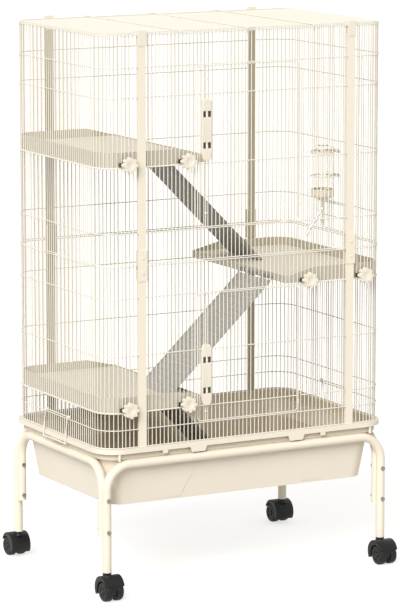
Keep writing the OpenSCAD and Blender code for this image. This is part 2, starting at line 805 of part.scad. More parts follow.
// A shelf at the left wall, from its skirt's lower edge at z = 0
module shelf_body() {
  bolt_hole = bolt_d + 2 * slide_fit;
  rib = 2;
  difference() {
    union() {
      difference() {
        linear_extrude(shelf_rim) shelf_outline(0);
        // the space above the floor and the space below it
        translate([0, 0, shelf_floor_z + shelf_wall]) linear_extrude(shelf_rim) shelf_outline(shelf_wall);
        translate([0, 0, -1]) linear_extrude(shelf_floor_z + 1) shelf_outline(shelf_wall);
      }
      // stiffening ribs under the floor
      intersection() {
        translate([0, 0, shelf_floor_z - 5]) linear_extrude(5 + shelf_wall / 2) shelf_outline(shelf_wall / 2);
        union() {
          for (y = [-120, 0, 120]) translate([-shelf_out_x, y - rib / 2, 0]) cube([shelf_l, rib, shelf_rim]);
          for (x = [90, 190])
            translate([-shelf_out_x + x, -shelf_hd, 0]) cube([rib, 2 * shelf_hd, shelf_rim]);
        }
      }
      // ears that carry the ramp's pin
      for (sy = [-1, 1]) translate([-shelf_end_x - 4, ramp_y + sy * (ramp_w / 2 + 6) - 2, 0])
        cube([pin_out + 4 + pin_d, 4, pin_up + pin_d]);
    }
    // the rim falls to the lip towards the open end
    translate([0, -hd, 0]) rotate([90, 0, 0]) mirror([0, 0, 1]) linear_extrude(2 * hd)
      polygon([[-shelf_end_x - shelf_slope, shelf_rim + 0.01], [-shelf_end_x - 8, shelf_lip],
        [-shelf_end_x + 30, shelf_lip], [-shelf_end_x + 30, shelf_rim + 30],
        [-shelf_end_x - shelf_slope, shelf_rim + 30]]);
    // holes for the clamp bolts at the front and the hooks at the back
    for (x = [knob_in_x, knob_out_x]) bar_y([-x, -hd, knob_up], 2 * hd, bolt_hole);
    // the bore for the ramp's pin
    bar_y([-shelf_end_x + pin_out, -hd, pin_up], 2 * hd, pin_d + 2 * slide_fit);
  }
}

module shelf_at(level, turned) {
  color(shelf_cream) translate([0, 0, level + shelf_lift]) rotate([0, 0, turned ? 180 : 0]) shelf_body();
}
module shelf_upper() {
  shelf_at(level_shelf_high, false);
}
module shelf_middle() {
  shelf_at(level_shelf_mid, true);
}
module shelf_lower() {
  shelf_at(level_shelf_low, false);
}

shelf_places = [[level_shelf_high, -1], [level_shelf_mid, 1], [level_shelf_low, -1]];

// Bolts with their clamp plates at the front
module shelf_bolts() {
  head_r = 4.2;
  plate_reach = 22;
  tip_y = knob_y + knob_head * 0.6;
  color(caster_black) for (place = shelf_places, x = [knob_in_x, knob_out_x])
    translate([place[1] * x, 0, place[0] + shelf_lift + knob_up]) {
      bar_y([0, -tip_y, 0], tip_y - shelf_hd + shelf_wall + seat, bolt_d);
      bar_y([0, -shelf_hd + shelf_wall + seat, 0], 3, 2 * head_r);
      difference() {
        translate([-plate_reach, -clamp_y - clamp_t, -5]) cube([plate_reach + 7, clamp_t, 10]);
        translate([-plate_reach + 4, -clamp_y - clamp_t - 1, -1.5]) cube([6, clamp_t + 2, 3]);
      }
    }
}

// Plain hooked bolts at the back, with a round washer head outside the wires
module shelf_hooks() {
  head_r = 4.2;
  color(caster_black) for (place = shelf_places, x = [knob_in_x, knob_out_x])
    translate([place[1] * x, 0, place[0] + shelf_lift + knob_up]) mirror([0, 1, 0]) {
      bar_y([0, -clamp_y, 0], clamp_y - shelf_hd + shelf_wall + seat, bolt_d);
      bar_y([0, -shelf_hd + shelf_wall + seat, 0], 3, 2 * head_r);
      bar_y([0, -clamp_y - 3, 0], 3, 14);
    }
}

// An eight-lobed knob on its bolt
module knob(place, x) {
  lobes = 8;
  lobe_r = knob_r * 0.25;
  hub_r = 8;
  neck = 4;
  color(shelf_cream) translate([place[1] * x, -knob_y, place[0] + shelf_lift + knob_up]) rotate([90, 0, 0])
    difference() {
      union() {
        cylinder(r = hub_r, h = neck + 1, $fn = 32);
        translate([0, 0, neck]) difference() {
          linear_extrude(knob_head) {
            circle(r = knob_r - lobe_r, $fn = 64);
            for (i = [0:lobes - 1])
              rotate(i * 360 / lobes) translate([knob_r - lobe_r, 0]) circle(r = lobe_r, $fn = 32);
          }
          // the face is dished
          translate([0, 0, knob_head + 30 - 2]) sphere(r = 30, $fn = 64);
        }
      }
      translate([0, 0, -1]) cylinder(d = bolt_d + 2 * slide_fit, h = knob_head * 0.6 + 2, $fn = 24);
    }
}
module knob_upper_left() {
  knob(shelf_places[0], knob_out_x);
}
module knob_upper_right() {
  knob(shelf_places[0], knob_in_x);
}
module knob_middle_left() {
  knob(shelf_places[1], knob_in_x);
}
module knob_middle_right() {
  knob(shelf_places[1], knob_out_x);
}
module knob_lower_left() {
  knob(shelf_places[2], knob_out_x);
}
module knob_lower_right() {
  knob(shelf_places[2], knob_in_x);
}

// A ramp that hangs on the pin at the origin and runs down towards +X. drop is the height of its foot below.
module ramp_body(run, drop) {
  len = sqrt(run * run + drop * drop);
  ang = atan2(drop, run);
  side_h = ramp_t + ridge_h;
  hook_w = 12;
  board_x = 8;               // where the board starts, off the pin
  neck_top = pin_d / 2 + 1;  // the hooks' necks pass below the pin
  rotate([0, ang, 0]) {
    difference() {
      union() {
        translate([board_x, -ramp_w / 2, -ramp_drop - ramp_t]) cube([len - board_x, ramp_w, ramp_t]);
        // cheeks along both sides
        for (sy = [0, 1]) mirror([0, sy, 0])
          translate([board_x, -ramp_w / 2, -ramp_drop - ramp_t]) cube([len - board_x, 3, side_h + 1]);
        for (i = [1:floor((len - 20) / ridge_pitch)])
          translate([board_x + i * ridge_pitch, -ramp_w / 2, -ramp_drop - 0.5]) rotate([-90, 0, 0])
            cylinder(r = ridge_h, h = ramp_w, $fn = 24);
        // hooks round the pin
        for (y = [-ramp_w / 4, ramp_w / 4]) {
          bar_y([0, y - hook_w / 2, 0], hook_w, pin_d + 5, 32);
          translate([0, y + hook_w / 2, 0]) rotate([90, 0, 0]) linear_extrude(hook_w)
            polygon([[1, -neck_top], [1, -neck_top - 1.2], [board_x, -ramp_drop - ramp_t],
              [board_x + 16, -ramp_drop - ramp_t], [board_x + 16, -neck_top]]);
        }
      }
      bar_y([0, -ramp_w, 0], 2 * ramp_w, pin_d + 2 * hinge_fit, 32);
      // the foot is cut level with the floor it stands on
      rotate([0, -ang, 0]) translate([run - 60, -ramp_w, -drop - 60]) cube([120, 2 * ramp_w, 60]);
    }
  }
}

pin_x = shelf_end_x - pin_out;
floor_up = shelf_lift + shelf_floor_z + shelf_wall;
ramp_foot_high = pin_x + foot_past_high;
ramp_foot_mid = pin_x + foot_past_mid;
ramp_foot_low = pin_x + foot_past_low;
module ramp_at(level, turned, run, floor_z) {
  drop = level + shelf_lift + pin_up - floor_z - seat;
  color(ramp_grey) translate([0, 0, level + shelf_lift + pin_up]) rotate([0, 0, turned ? 180 : 0])
    translate([-pin_x, ramp_y, 0]) ramp_body(run, drop);
}
module ramp_upper() {
  ramp_at(level_shelf_high, false, ramp_foot_high, level_shelf_mid + floor_up);
}
module ramp_middle() {
  ramp_at(level_shelf_mid, true, ramp_foot_mid, level_shelf_low + floor_up);
}
module ramp_lower() {
  ramp_at(level_shelf_low, false, ramp_foot_low, hopper_z + tray_wall);
}

module ramp_pins() {
  half = ramp_w / 2 + 10;
  color(steel) for (place = shelf_places)
    translate([place[1] * pin_x, -place[1] * ramp_y - half, place[0] + shelf_lift + pin_up])
      rotate([-90, 0, 0]) cylinder(d = pin_d, h = 2 * half, $fn = 32);
}

// ---------------------------------------------------------------- base tray and its clips

module slab(hx, hy, r, z, h = 0.01) {
  translate([0, 0, z]) linear_extrude(h) rounded_coarse(hx, hy, r);
}
module rounded_coarse(hx, hy, r) {
  hull() for (sx = [-1, 1], sy = [-1, 1]) translate([sx * (hx - r), sy * (hy - r)]) circle(r = r, $fn = 40);
}

module base_tray() {
  t = tray_wall;
  neck_z = stand_h + seat;
  lip_z = rim_z - rim_h;
  hopper_r = rim_r - 14;
  foot_r = hopper_r - 4;
  color(tray_cream) {
    // rolled rim, deck and neck
    difference() {
      union() {
        translate([0, 0, lip_z]) linear_extrude(rim_h) rounded(rim_x, rim_y, rim_r);
        translate([0, 0, neck_z]) linear_extrude(rim_z - neck_z) rounded(neck_x, neck_y, rim_r - 12);
      }
      translate([0, 0, lip_z - 1]) linear_extrude(rim_h + 1 - t) difference() {
        rounded(rim_x - t, rim_y - t, rim_r - t);
        rounded(neck_x, neck_y, rim_r - 12);
      }
      translate([0, 0, neck_z + t]) linear_extrude(rim_z) rounded(neck_x - t, neck_y - t, rim_r - 12 - t);
      translate([0, 0, neck_z - 1]) linear_extrude(t + 2) rounded(hopper_x - t, hopper_y - t, hopper_r - t);
    }
    // the leaning hopper below the shoulder
    difference() {
      hull() {
        slab(hopper_x, hopper_y, hopper_r, neck_z + t / 2);
        slab(hopper_x - hopper_lean, hopper_y - hopper_lean, foot_r, hopper_z);
      }
      hull() {
        slab(hopper_x - t, hopper_y - t, hopper_r - t, neck_z + t / 2 + 0.02);
        slab(hopper_x - hopper_lean - t, hopper_y - hopper_lean - t, foot_r - t, hopper_z + t);
      }
    }
    tray_tabs();
  }
}

// Tabs that hang from the rim at the front
module tray_tabs() {
  translate([0, -rim_y, rim_z]) rotate([90, 0, 0]) mirror([0, 0, 1]) linear_extrude(tray_wall) {
    for (x = [-140, 137]) tab_outline(x, 25, 18, rim_h + 13);
    for (x = [-232, 214]) tab_outline(x, 8, 6, rim_h + 8);
  }
}
module tab_outline(x, upper, lower, drop) {
  polygon([[x - upper, -rim_h / 2], [x - lower, -drop], [x + lower, -drop], [x + upper, -rim_h / 2]]);
}

// A tray clip: a bent wire on its pivot, with a tongue under the tray's rim. It is the left one.
module tray_clip() {
  eye_w = 4;
  leg_top = clip_x + edge_d / 2 + 2.6;
  leg_low = rim_x + clip_d / 2 + 2.1;
  low_z = rim_z - rim_h - 3;
  len = sqrt(pow(leg_low - leg_top, 2) + pow(clip_z - low_z, 2));
  lean = atan2(leg_low - leg_top, clip_z - low_z);
  tongue = 5.6;
  tongue_w = 50;
  for (sy = [0, 1]) mirror([0, sy, 0]) {
    difference() {
      bar_y([-clip_x, clip_y - eye_w / 2, clip_z], eye_w, 2 * clip_eye_r, 32);
      bar_y([-clip_x, clip_y - eye_w, clip_z], 2 * eye_w, edge_d + 2 * hinge_fit, 32);
    }
    translate([-leg_top, clip_y, clip_z]) rotate([0, 180 + lean, 0]) cylinder(d = clip_d, h = len, $fn = 24);
  }
  // the grip bar is a little thicker than the legs that end in it
  grip_d = clip_d + 0.4;
  bar_y([-leg_low, -clip_y - grip_d / 2, low_z], 2 * clip_y + grip_d, grip_d);
  translate([-leg_low, -tongue_w / 2, low_z - clip_d / 2]) cube([tongue, tongue_w, clip_d - 0.4]);
}
module tray_clip_left() {
  color(cream) tray_clip();
}
module tray_clip_right() {
  color(cream) mirror([1, 0, 0]) tray_clip();
}

// ---------------------------------------------------------------- stand

// An upside-down U of tube in the plane of X and Z, with its legs at -half and half
module tube_u(half, z0, d) {
  for (sx = [0, 1]) mirror([sx, 0, 0]) {
    translate([-half, 0, z0]) cylinder(d = d, h = tube_mid_z - bend_r - z0, $fn = 48);
    translate([-half + bend_r, 0, tube_mid_z - bend_r]) rotate([90, 0, 0]) rotate([0, 0, 90])
      rotate_extrude(angle = 90, $fn = 96) translate([bend_r, 0]) circle(d = d, $fn = 48);
  }
  bar_x([-half + bend_r, 0, tube_mid_z], 2 * (half - bend_r), d, 48);
}

module front_frame() {
  difference() {
    tube_u(leg_x, leg_z, tube_d);
    tube_u(leg_x, leg_z - 1, tube_d - 2 * tube_wall);
    for (sx = [-1, 1], z = [bolt_low_z, bolt_high_z])
      bar_y([sx * leg_x, -tube_d, z], 2 * tube_d, stand_bolt_d + 2 * slide_fit);
  }
}
stand_bolt_d = 6;

module stand_front_frame() {
  color(cream) translate([0, -leg_y, 0]) front_frame();
}
module stand_back_frame() {
  color(cream) translate([0, leg_y, 0]) front_frame();
}

module side_frame() {
  rotate([0, 0, 90]) difference() {
    tube_u(side_leg_y, side_leg_z, tube_d);
    tube_u(side_leg_y, side_leg_z - 1, tube_d - 2 * tube_wall);
    for (sx = [-1, 1], z = [bolt_low_z, bolt_high_z])
      bar_x([sx * side_leg_y - tube_d, 0, z], 2 * tube_d, stand_bolt_d + 2 * slide_fit);
  }
}
module stand_left_frame() {
  color(cream) translate([-leg_x, 0, 0]) side_frame();
}
module stand_right_frame() {
  color(cream) translate([leg_x, 0, 0]) side_frame();
}

// The bolts run from the outer tube through the inner one. Each leg's own frame: -Y is outwards.
module stand_bolts() {
  color(steel) each_leg() for (z = [bolt_low_z, bolt_high_z]) {
    bar_y([0, -tube_d / 2 - seat, z], 2 * tube_d + 9, stand_bolt_d);
    bar_y([0, -tube_d / 2 - seat - 3, z], 3, 11);
  }
}
module stand_nuts() {
  color(steel) each_leg() for (z = [bolt_low_z, bolt_high_z])
    translate([0, tube_d / 2 + 0.4 + tube_d + seat, z]) rotate([-90, 0, 0]) difference() {
      cylinder(d = 11, h = 5, $fn = 6);
      translate([0, 0, -1]) cylinder(d = stand_bolt_d + 0.1, h = 8, $fn = 24);
    }
}

// ---------------------------------------------------------------- casters

socket_flange = 3;
module caster_sockets() {
  color(caster_black) each_leg() difference() {
    union() {
      translate([0, 0, leg_z - socket_flange - seat]) cylinder(d = tube_d, h = socket_flange, $fn = 48);
      translate([0, 0, leg_z - socket_flange - seat])
        cylinder(d = tube_d - 2 * tube_wall - 2 * slide_fit, h = 33, $fn = 48);
    }
    translate([0, 0, leg_z - 10]) cylinder(d = stem_d + 0.1, h = 60, $fn = 32);
  }
}

// A caster's fork with its hood. The wheels trail towards -Y.
module caster_fork() {
  web_t = 10;
  wheel_r = wheel_d / 2;
  top = leg_z - socket_flange - 2 * seat - 0.4;
  hood_in = wheel_r + 1.2;
  hood_t = 2;
  boss_z = wheel_r + 23.5;
  width = 2 * wheel_w + web_t + 1;
  difference() {
    union() {
      // stem and its boss
      cylinder(d = stem_d, h = leg_z + 24, $fn = 32);
      translate([0, 0, boss_z]) cylinder(r = 10, h = top - boss_z, $fn = 48);
      // web between the wheels
      translate([-web_t / 2, 0, 0]) rotate([90, 0, 90]) linear_extrude(web_t) {
        translate([-caster_trail, wheel_r]) circle(r = wheel_r - 4, $fn = 64);
        polygon([[-caster_trail, wheel_r + 19], [-caster_trail, wheel_r], [4, wheel_r + 2],
          [9, top - 6], [9, top - 1], [-4, top - 1]]);
      }
      // hood over the wheels
      translate([-width / 2, -caster_trail, wheel_r]) rotate([90, 0, 90]) linear_extrude(width) intersection() {
        difference() {
          circle(r = hood_in + hood_t, $fn = 96);
          circle(r = hood_in, $fn = 96);
        }
        polygon([[0, 0], [60, 6], [60, 60], [-24, 60]]);
      }
    }
    // nothing of the stem below the boss
    translate([0, 0, -1]) cylinder(d = stem_d + 1, h = wheel_r - 8, $fn = 48);
    // the axle's bore
    bar_x([-60, -caster_trail, wheel_r], 120, axle_d + 2 * hinge_fit, 32);
  }
}
axle_d = 6;

// Both wheels on their axle
module caster_wheels() {
  web_t = 10;
  side = web_t / 2 + 0.5;
  wheel_r = wheel_d / 2;
  translate([0, -caster_trail, wheel_r]) {
    bar_x([-side - 2, 0, 0], 2 * side + 4, axle_d, 32);
    for (sx = [0, 1]) mirror([sx, 0, 0]) rotate([0, 90, 0]) rotate_extrude($fn = 96)
      polygon([[0, side + 1], [6, side + 1], [6, side], [wheel_r - 3, side], [wheel_r - 0.8, side + 0.8],
        [wheel_r, side + 3], [wheel_r, side + wheel_w - 7], [wheel_r - 1.6, side + wheel_w - 3],
        [wheel_r - 4.5, side + wheel_w - 1.2], [14, side + wheel_w - 0.8], [12.5, side + wheel_w - 2.5],
        [8, side + wheel_w - 2.5], [6.5, side + wheel_w], [0, side + wheel_w]]);
  }
}

// The front casters trail to the front and the back ones to the back
module at_caster(sx, sy) {
  color(caster_black) translate([sx * leg_x, sy * leg_y, 0]) mirror([0, sy > 0 ? 1 : 0, 0]) children();
}
module caster_fork_fl() {
  at_caster(-1, -1) caster_fork();
}
module caster_fork_fr() {
  at_caster(1, -1) caster_fork();
}
module caster_fork_bl() {
  at_caster(-1, 1) caster_fork();
}
module caster_fork_br() {
  at_caster(1, 1) caster_fork();
}
module caster_wheels_fl() {
  at_caster(-1, -1) caster_wheels();
}
module caster_wheels_fr() {
  at_caster(1, -1) caster_wheels();
}
module caster_wheels_bl() {
  at_caster(-1, 1) caster_wheels();
}
module caster_wheels_br() {
  at_caster(1, 1) caster_wheels();
}

// ---------------------------------------------------------------- water bottle

module at_bottle() {
  translate([bottle_x, -bottle_y, 0]) children();
}

neck_r = 13;
module bottle() {
  t = 1.8;
  z0 = bottle_z0;
  z1 = bottle_z1;
  r = bottle_r;
  color(clear_blue) at_bottle() rotate_extrude($fn = 96) difference() {
    union() {
      polygon([
        [0, z0], [neck_r, z0], [neck_r, z0 + 10], [r, z0 + 26],
        [r, z1 - 8], [r - 8, z1 - 8], [r - 8, z1], [0, z1]
      ]);
      translate([r - 8, z1 - 8]) circle(r = 8, $fn = 48);
    }
    translate([-50, z0 - 50]) square([50, 300]);
    polygon([[0, z0 - 1], [neck_r - t, z0 - 1], [neck_r - t, z0 + 10 + t / 2], [r - t, z0 + 26 + t / 2],
      [r - t, z1 - 8], [r - 8, z1 - t], [0, z1 - t]]);
  }
}

cap_r = 18;
bottle_cap_h = 24;
module bottle_cap() {
  z0 = bottle_z0 - seat - 3;
  grips = 20;
  color(shelf_cream) at_bottle() difference() {
    union() {
      translate([0, 0, z0]) cylinder(r1 = cap_r - 1.5, r2 = cap_r, h = bottle_cap_h - 12, $fn = 64);
      for (i = [0:grips - 1]) rotate(i * 360 / grips) translate([cap_r - 1, 0, z0 + 2])
        cylinder(r = 1.3, h = bottle_cap_h - 16, $fn = 16);
    }
    translate([0, 0, z0 + 3]) cylinder(r = neck_r + slide_fit, h = 40, $fn = 64);
    translate([0, 0, z0 - 1]) cylinder(d = spout_d + 2 * slide_fit, h = 10, $fn = 32);
  }
}

spout_d = 8;
// The steel spout: straight down from the cap, a knuckle, and a slanting end with a ball in its mouth
module bottle_spout() {
  z0 = bottle_z0 - seat - 3;
  drop = 20;
  lean = 36;
  slant = 82;
  bore_r = spout_d / 2 - 1;
  bore_depth = 9;
  ball_r = bore_r - 0.1;
  color(steel) at_bottle() {
    translate([0, 0, z0 - drop]) cylinder(d = spout_d, h = drop + 2.6, $fn = 32);
    translate([0, 0, z0 - drop]) sphere(d = spout_d + 1.2, $fn = 48);
    translate([0, 0, z0 - drop]) rotate([0, lean, 0]) translate([0, 0, -slant]) {
      difference() {
        cylinder(d = spout_d, h = slant, $fn = 32);
        translate([0, 0, -1]) cylinder(r = bore_r, h = bore_depth + 1, $fn = 32);
      }
      translate([0, 0, ball_r - 0.6]) sphere(r = ball_r, $fn = 32);
    }
  }
}

// The holder: a wire ring low round the bottle and a strap high on it, both with arms to the wall's wires
module bottle_holder() {
  ring_z = bottle_z0 + 60;
  strap_z = bottle_z1 - 22;
  wire = 3;
  ring_r = bottle_r + seat + wire / 2;
  arm_x = bottle_in - wire_r - seat;
  color(cream) at_bottle() {
    translate([0, 0, ring_z]) rotate_extrude($fn = 96) translate([ring_r, 0]) circle(d = wire, $fn = 24);
    translate([0, 0, strap_z]) linear_extrude(8) difference() {
      circle(r = bottle_r + seat + 2, $fn = 96);
      circle(r = bottle_r + seat, $fn = 96);
    }
    for (z = [ring_z, strap_z + 4]) {
      translate([bottle_r + seat + 1, -5, z - 1.5]) cube([arm_x - bottle_r - seat - 1, 10, 3]);
      translate([arm_x - 2, -16, z - 4]) cube([2, 32, 8]);
    }
  }
}

// ---------------------------------------------------------------- the parts

stand_front_frame();
stand_back_frame();
stand_left_frame();
stand_right_frame();
stand_bolts();
stand_nuts();
caster_sockets();
caster_fork_fl();
caster_fork_fr();
caster_fork_bl();
caster_fork_br();
caster_wheels_fl();
caster_wheels_fr();
caster_wheels_bl();
caster_wheels_br();
base_tray();
tray_clip_left();
tray_clip_right();
posts_lower();
posts_upper();
post_joiners();
joiner_screws();
post_caps();
wall_left_lower();
wall_right_lower();
wall_front_lower();
wall_back_lower();
wall_left_upper();
wall_right_upper();
wall_front_upper();
wall_back_upper();
top_panel();
door_upper();
door_lower();
feeder_door();
latch_plate_upper();
latch_plate_lower();
latch_bar_upper_top();
latch_bar_upper_bottom();
latch_bar_lower_top();
latch_bar_lower_bottom();
shelf_upper();
shelf_middle();
shelf_lower();
shelf_bolts();
shelf_hooks();
knob_upper_left();
knob_upper_right();
knob_middle_left();
knob_middle_right();
knob_lower_left();
knob_lower_right();
ramp_upper();
ramp_middle();
ramp_lower();
ramp_pins();
bottle();
bottle_cap();
bottle_spout();
bottle_holder();
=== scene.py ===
import math
from functools import partial

import bmesh
import bpy
from mathutils import Matrix, Vector


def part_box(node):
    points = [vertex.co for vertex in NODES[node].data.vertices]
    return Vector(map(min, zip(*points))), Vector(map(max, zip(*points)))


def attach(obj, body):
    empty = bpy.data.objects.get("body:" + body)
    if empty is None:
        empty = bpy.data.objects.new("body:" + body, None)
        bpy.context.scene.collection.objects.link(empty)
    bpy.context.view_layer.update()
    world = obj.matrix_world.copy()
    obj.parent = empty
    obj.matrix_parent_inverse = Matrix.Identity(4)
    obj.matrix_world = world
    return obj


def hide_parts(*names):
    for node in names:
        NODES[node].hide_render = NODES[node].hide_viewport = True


bl_info = {
    "name": "Ferret cage looks",
    "version": (1, 0, 0),
    "blender": (4, 5, 0),
    "location": "3D View > Sidebar > Cage",
    "description": "Round wires, coats and plastics for a tall wire cage on a rolling stand",
    "category": "Object",
}

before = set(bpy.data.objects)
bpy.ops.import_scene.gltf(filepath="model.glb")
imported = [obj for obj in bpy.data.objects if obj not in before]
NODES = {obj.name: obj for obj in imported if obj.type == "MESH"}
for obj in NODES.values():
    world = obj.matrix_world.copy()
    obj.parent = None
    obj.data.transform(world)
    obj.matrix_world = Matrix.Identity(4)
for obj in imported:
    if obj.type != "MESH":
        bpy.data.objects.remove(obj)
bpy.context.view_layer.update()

X = Vector((1, 0, 0))
Y = Vector((0, 1, 0))
Z = Vector((0, 0, 1))
MM = 0.001
QUARTER = math.pi / 2
GREY, WHITE = (0.8, 0.8, 0.8, 1), (1, 1, 1, 1)

# the cage and its tray, as the painted shade on the inner faces needs them
CORE_X, CORE_Y = 0.34, 0.195         # half sizes of the cage without its corners' bends
INNER_EDGE = 30.0                    # how sharply a face turns to its painted inner shade, per metre
NECK_X, NECK_Y = 0.3935, 0.2475      # half sizes of the tray's neck, with a little to spare
NECK_Z, NECK_HALF = 0.3476, 0.0086   # middle and half height of the groove under the tray's rim
TRAY_LOW = 0.3                       # height over the tray's floor and under its neck

# walls and top panel
POST_W, SLOT = 20 * MM, 4.5 * MM          # width of a post and depth of its slots
SLOT_GAP, JOINER_GAP = 1 * MM, 0.3 * MM   # free space beside the edge wire in a slot, and beside a joiner
SEAT = 2.3 * MM                           # how far the middle of a carrier wire lies below its shelf
CARRIER_INSET = 40 * MM                   # from a shelf's free end to its front and back carriers
MID_LOW, MID_HIGH = 227 * MM, 853 * MM    # level wires in the middle of each storey, above the tray's rim
TOP_HALF_Y = 243.3 * MM                   # half depth of the top panel's ring
TOP_BARS = (-190 * MM, -5 * MM, 182 * MM)

# doors. The eyes and the guides are (above the sill, below the head).
DOOR_LEFT = -140.5 * MM
HINGE_GAP, PAST_HINGE = 2.6 * MM, 6 * MM   # from the hinge line to the door's frame and to the wall's wires
EYE_WALL = 1.5 * MM
EYES = {"upper": (40 * MM, 40 * MM), "lower": (26 * MM, 40 * MM)}
GUIDES = {"upper": (36 * MM, 36 * MM), "lower": (25 * MM, 33 * MM)}
FEEDER_JAMB, FEEDER_EYE, FEEDER_CORNER = -47 * MM, 16 * MM, 6 * MM

# casters. An arc is in degrees, from the level line towards the back.
HOOD_INNER, HOOD_OUTER, HOOD_HALF = 26 * MM, 31.5 * MM, 25.5 * MM
INNER_ARC, OUTER_ARC = (-15.5, 143), (-35, 165)
SOCKET_R = 11 * MM

# tray: the pegs' places, and (x, y, z) of both ends of the slanting step in its front
PEG_X, PEG_Y = 355 * MM, 251 * MM
STEP_HIGH, STEP_LOW = (129 * MM, -232.2 * MM, 312 * MM), (173 * MM, -219.7 * MM, 228.5 * MM)

# latch plates: the columns and ends of a plate's outline, and its width at each end as a share
PLATE_COLUMNS = [place * MM for place in (-12.4, -10.8, 10.8, 12.4)]
PLATE_ENDS = [place * MM for place in (30.5, 45.5, 56, 63, 70)]
PLATE_WIDTHS = (1, 1, 1, 0.96, 0.85, 0.6)


# -------------------- settings


def length(label, text, default):
    return bpy.props.FloatProperty(name=label, description=text, default=default, unit="LENGTH", precision=5)


def angle(label, text, degrees):
    return bpy.props.FloatProperty(
        name=label, description=text, default=math.radians(degrees), subtype="ANGLE"
    )


def strength(label, text, default):
    return bpy.props.FloatProperty(name=label, description=text, default=default)


def colour(label, text, default):
    return bpy.props.FloatVectorProperty(
        name=label, description=text, default=default, subtype="COLOR", size=3, min=0, max=1
    )


class CageWires(bpy.types.PropertyGroup):
    upright: length("Upright wire", "Thickness of the upright wires", 2.2 * MM)
    level: length("Level wire", "Thickness of the level wires and the door frames", 2.6 * MM)
    edge: length("Edge wire", "Thickness of the wires at posts, jambs and hinges", 3 * MM)
    carrier: length("Carrier wire", "Thickness of the wires that carry a shelf", 4 * MM)
    pitch: length("Pitch", "Spacing of the upright wires", 11 * MM)
    weld: length("Weld", "How deep two crossing wires sink into each other", 0.3 * MM)
    corner: length("Corner", "Radius of the upright corners", 55 * MM)
    sides: bpy.props.IntProperty(name="Sides", description="Faces round a wire", default=10, min=6, max=24)


class CageDoors(bpy.types.PropertyGroup):
    gap: length("Door gap", "Gap above and below a door", 1.2 * MM)
    corner: length("Door corner", "Corner radius of a door's frame", 10 * MM)
    hinge_x: length("Hinge line", "Distance of the hinge wire from the middle of the cage", 146 * MM)
    jamb_x: length("Jamb", "Distance of the jamb wire from the middle of the cage", 145.5 * MM)
    latch_x: length("Latch line", "Place of the latch bars along the width", -115.5 * MM)
    eye: length("Hinge eye", "Height of one hinge eye", 8 * MM)


class CageFinish(bpy.types.PropertyGroup):
    wire: colour("Wire coat", "Cream powder coat on the wires", (0.87, 0.82, 0.71))
    tube: colour("Tube coat", "Cream powder coat on the stand and the posts", (0.89, 0.81, 0.66))
    fitting: colour("Fittings", "Cream plastic of knobs, caps and latch plates", (0.86, 0.785, 0.655))
    shelf: colour("Shelves", "Beige plastic of the shelves", (0.575, 0.53, 0.44))
    tray: colour("Tray", "Cream plastic of the base tray", (0.88, 0.80, 0.67))
    ramp: colour("Ramps", "Grey plastic of the ramps", (0.245, 0.235, 0.215))
    caster: colour("Casters", "Black nylon of the casters", (0.009, 0.009, 0.009))
    # the same dark colour is also painted shade in the latch plates' windows
    bolt: colour("Bolts", "Dark coat of the shelf bolts, hooks and latch recesses", (0.06, 0.053, 0.038))
    steel: colour("Zinc", "Plated steel of bolts, pins and the spout", (0.30, 0.29, 0.27))


class CageStage(bpy.types.PropertyGroup):
    azimuth: angle("Azimuth", "Turn of the view round the cage", 28.66)
    elevation: angle("Elevation", "How far the view looks down", 9.54)
    lens: bpy.props.FloatProperty(
        name="Lens", description="Focal length on a 36 mm frame", default=202.56, unit="CAMERA"
    )
    eye: bpy.props.FloatVectorProperty(
        name="Eye", description="Place of the camera", default=(-4.04735, -7.41242, 2.08408),
        subtype="TRANSLATION"
    )
    sky: strength("Sky", "Strength of the white surroundings", 0.62)
    key: strength("Key light", "Strength of the soft key light", 2.6)
    spread: angle("Key spread", "How wide the key light looks from the cage", 32)
    floor: colour("Floor", "Colour of the plain floor where it is in shadow", (0.52, 0.51, 0.49))
    glow: strength("Floor glow", "White that the floor adds to its colour", 0.66)


SETTINGS = {
    "cage_wires": CageWires, "cage_doors": CageDoors, "cage_finish": CageFinish, "cage_stage": CageStage
}


def settings(context):
    scene = context.scene
    return scene.cage_wires, scene.cage_doors, scene.cage_finish, scene.cage_stage


# -------------------- places, read from the frame


def heights(name):
    low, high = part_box(name)
    return low.z, high.z


class Places:
    """Lines and heights that the wires follow, worked out from the solids and the wire sizes."""

    def __init__(self, wires, doors):
        off, half = wires.upright / 2 - wires.weld, wires.level / 2
        self.level_off = off + half
        self.carrier_off = off + wires.carrier / 2
        self.half_x = -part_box("wall_left_upper")[0].x - off - wires.level
        self.half_y = -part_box("wall_front_upper")[0].y - off - wires.level
        self.lower, self.upper = heights("wall_left_lower"), heights("wall_left_upper")
        door_upper = heights("door_upper")
        sill_low = heights("door_lower")[0] - doors.gap - half
        sill_high = door_upper[0] - doors.gap - half
        head_high = door_upper[1] + doors.gap + half
        self.shelf_low, self.shelf_mid, self.shelf_high = (
            heights(name)[0] - SEAT for name in ("shelf_lower", "shelf_middle", "shelf_upper")
        )
        self.low_door = sill_low + half, self.shelf_mid - half
        self.high_door = sill_high + half, head_high - half
        rim = heights("base_tray")[1]
        self.mid_low, self.mid_high = rim + MID_LOW, rim + MID_HIGH
        self.lower_levels = [
            self.lower[0] + half, sill_low, self.shelf_low, self.mid_low, self.shelf_mid, self.lower[1] - half
        ]
        self.upper_levels = [
            self.upper[0] + half, sill_high, self.shelf_high, self.mid_high, head_high, self.upper[1] - half
        ]
        self.post_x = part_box("posts_lower")[1].x - POST_W / 2
        in_slot = POST_W / 2 - SLOT + SLOT_GAP + wires.edge / 2
        self.side_edge, self.wall_edge = self.post_x + in_slot, self.post_x - in_slot
        self.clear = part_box("post_joiners")[1].x - self.post_x + wires.upright / 2 + JOINER_GAP
        self.knob_x = (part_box("knob_middle_right")[0].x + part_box("knob_middle_right")[1].x) / 2


# -------------------- shader nodes


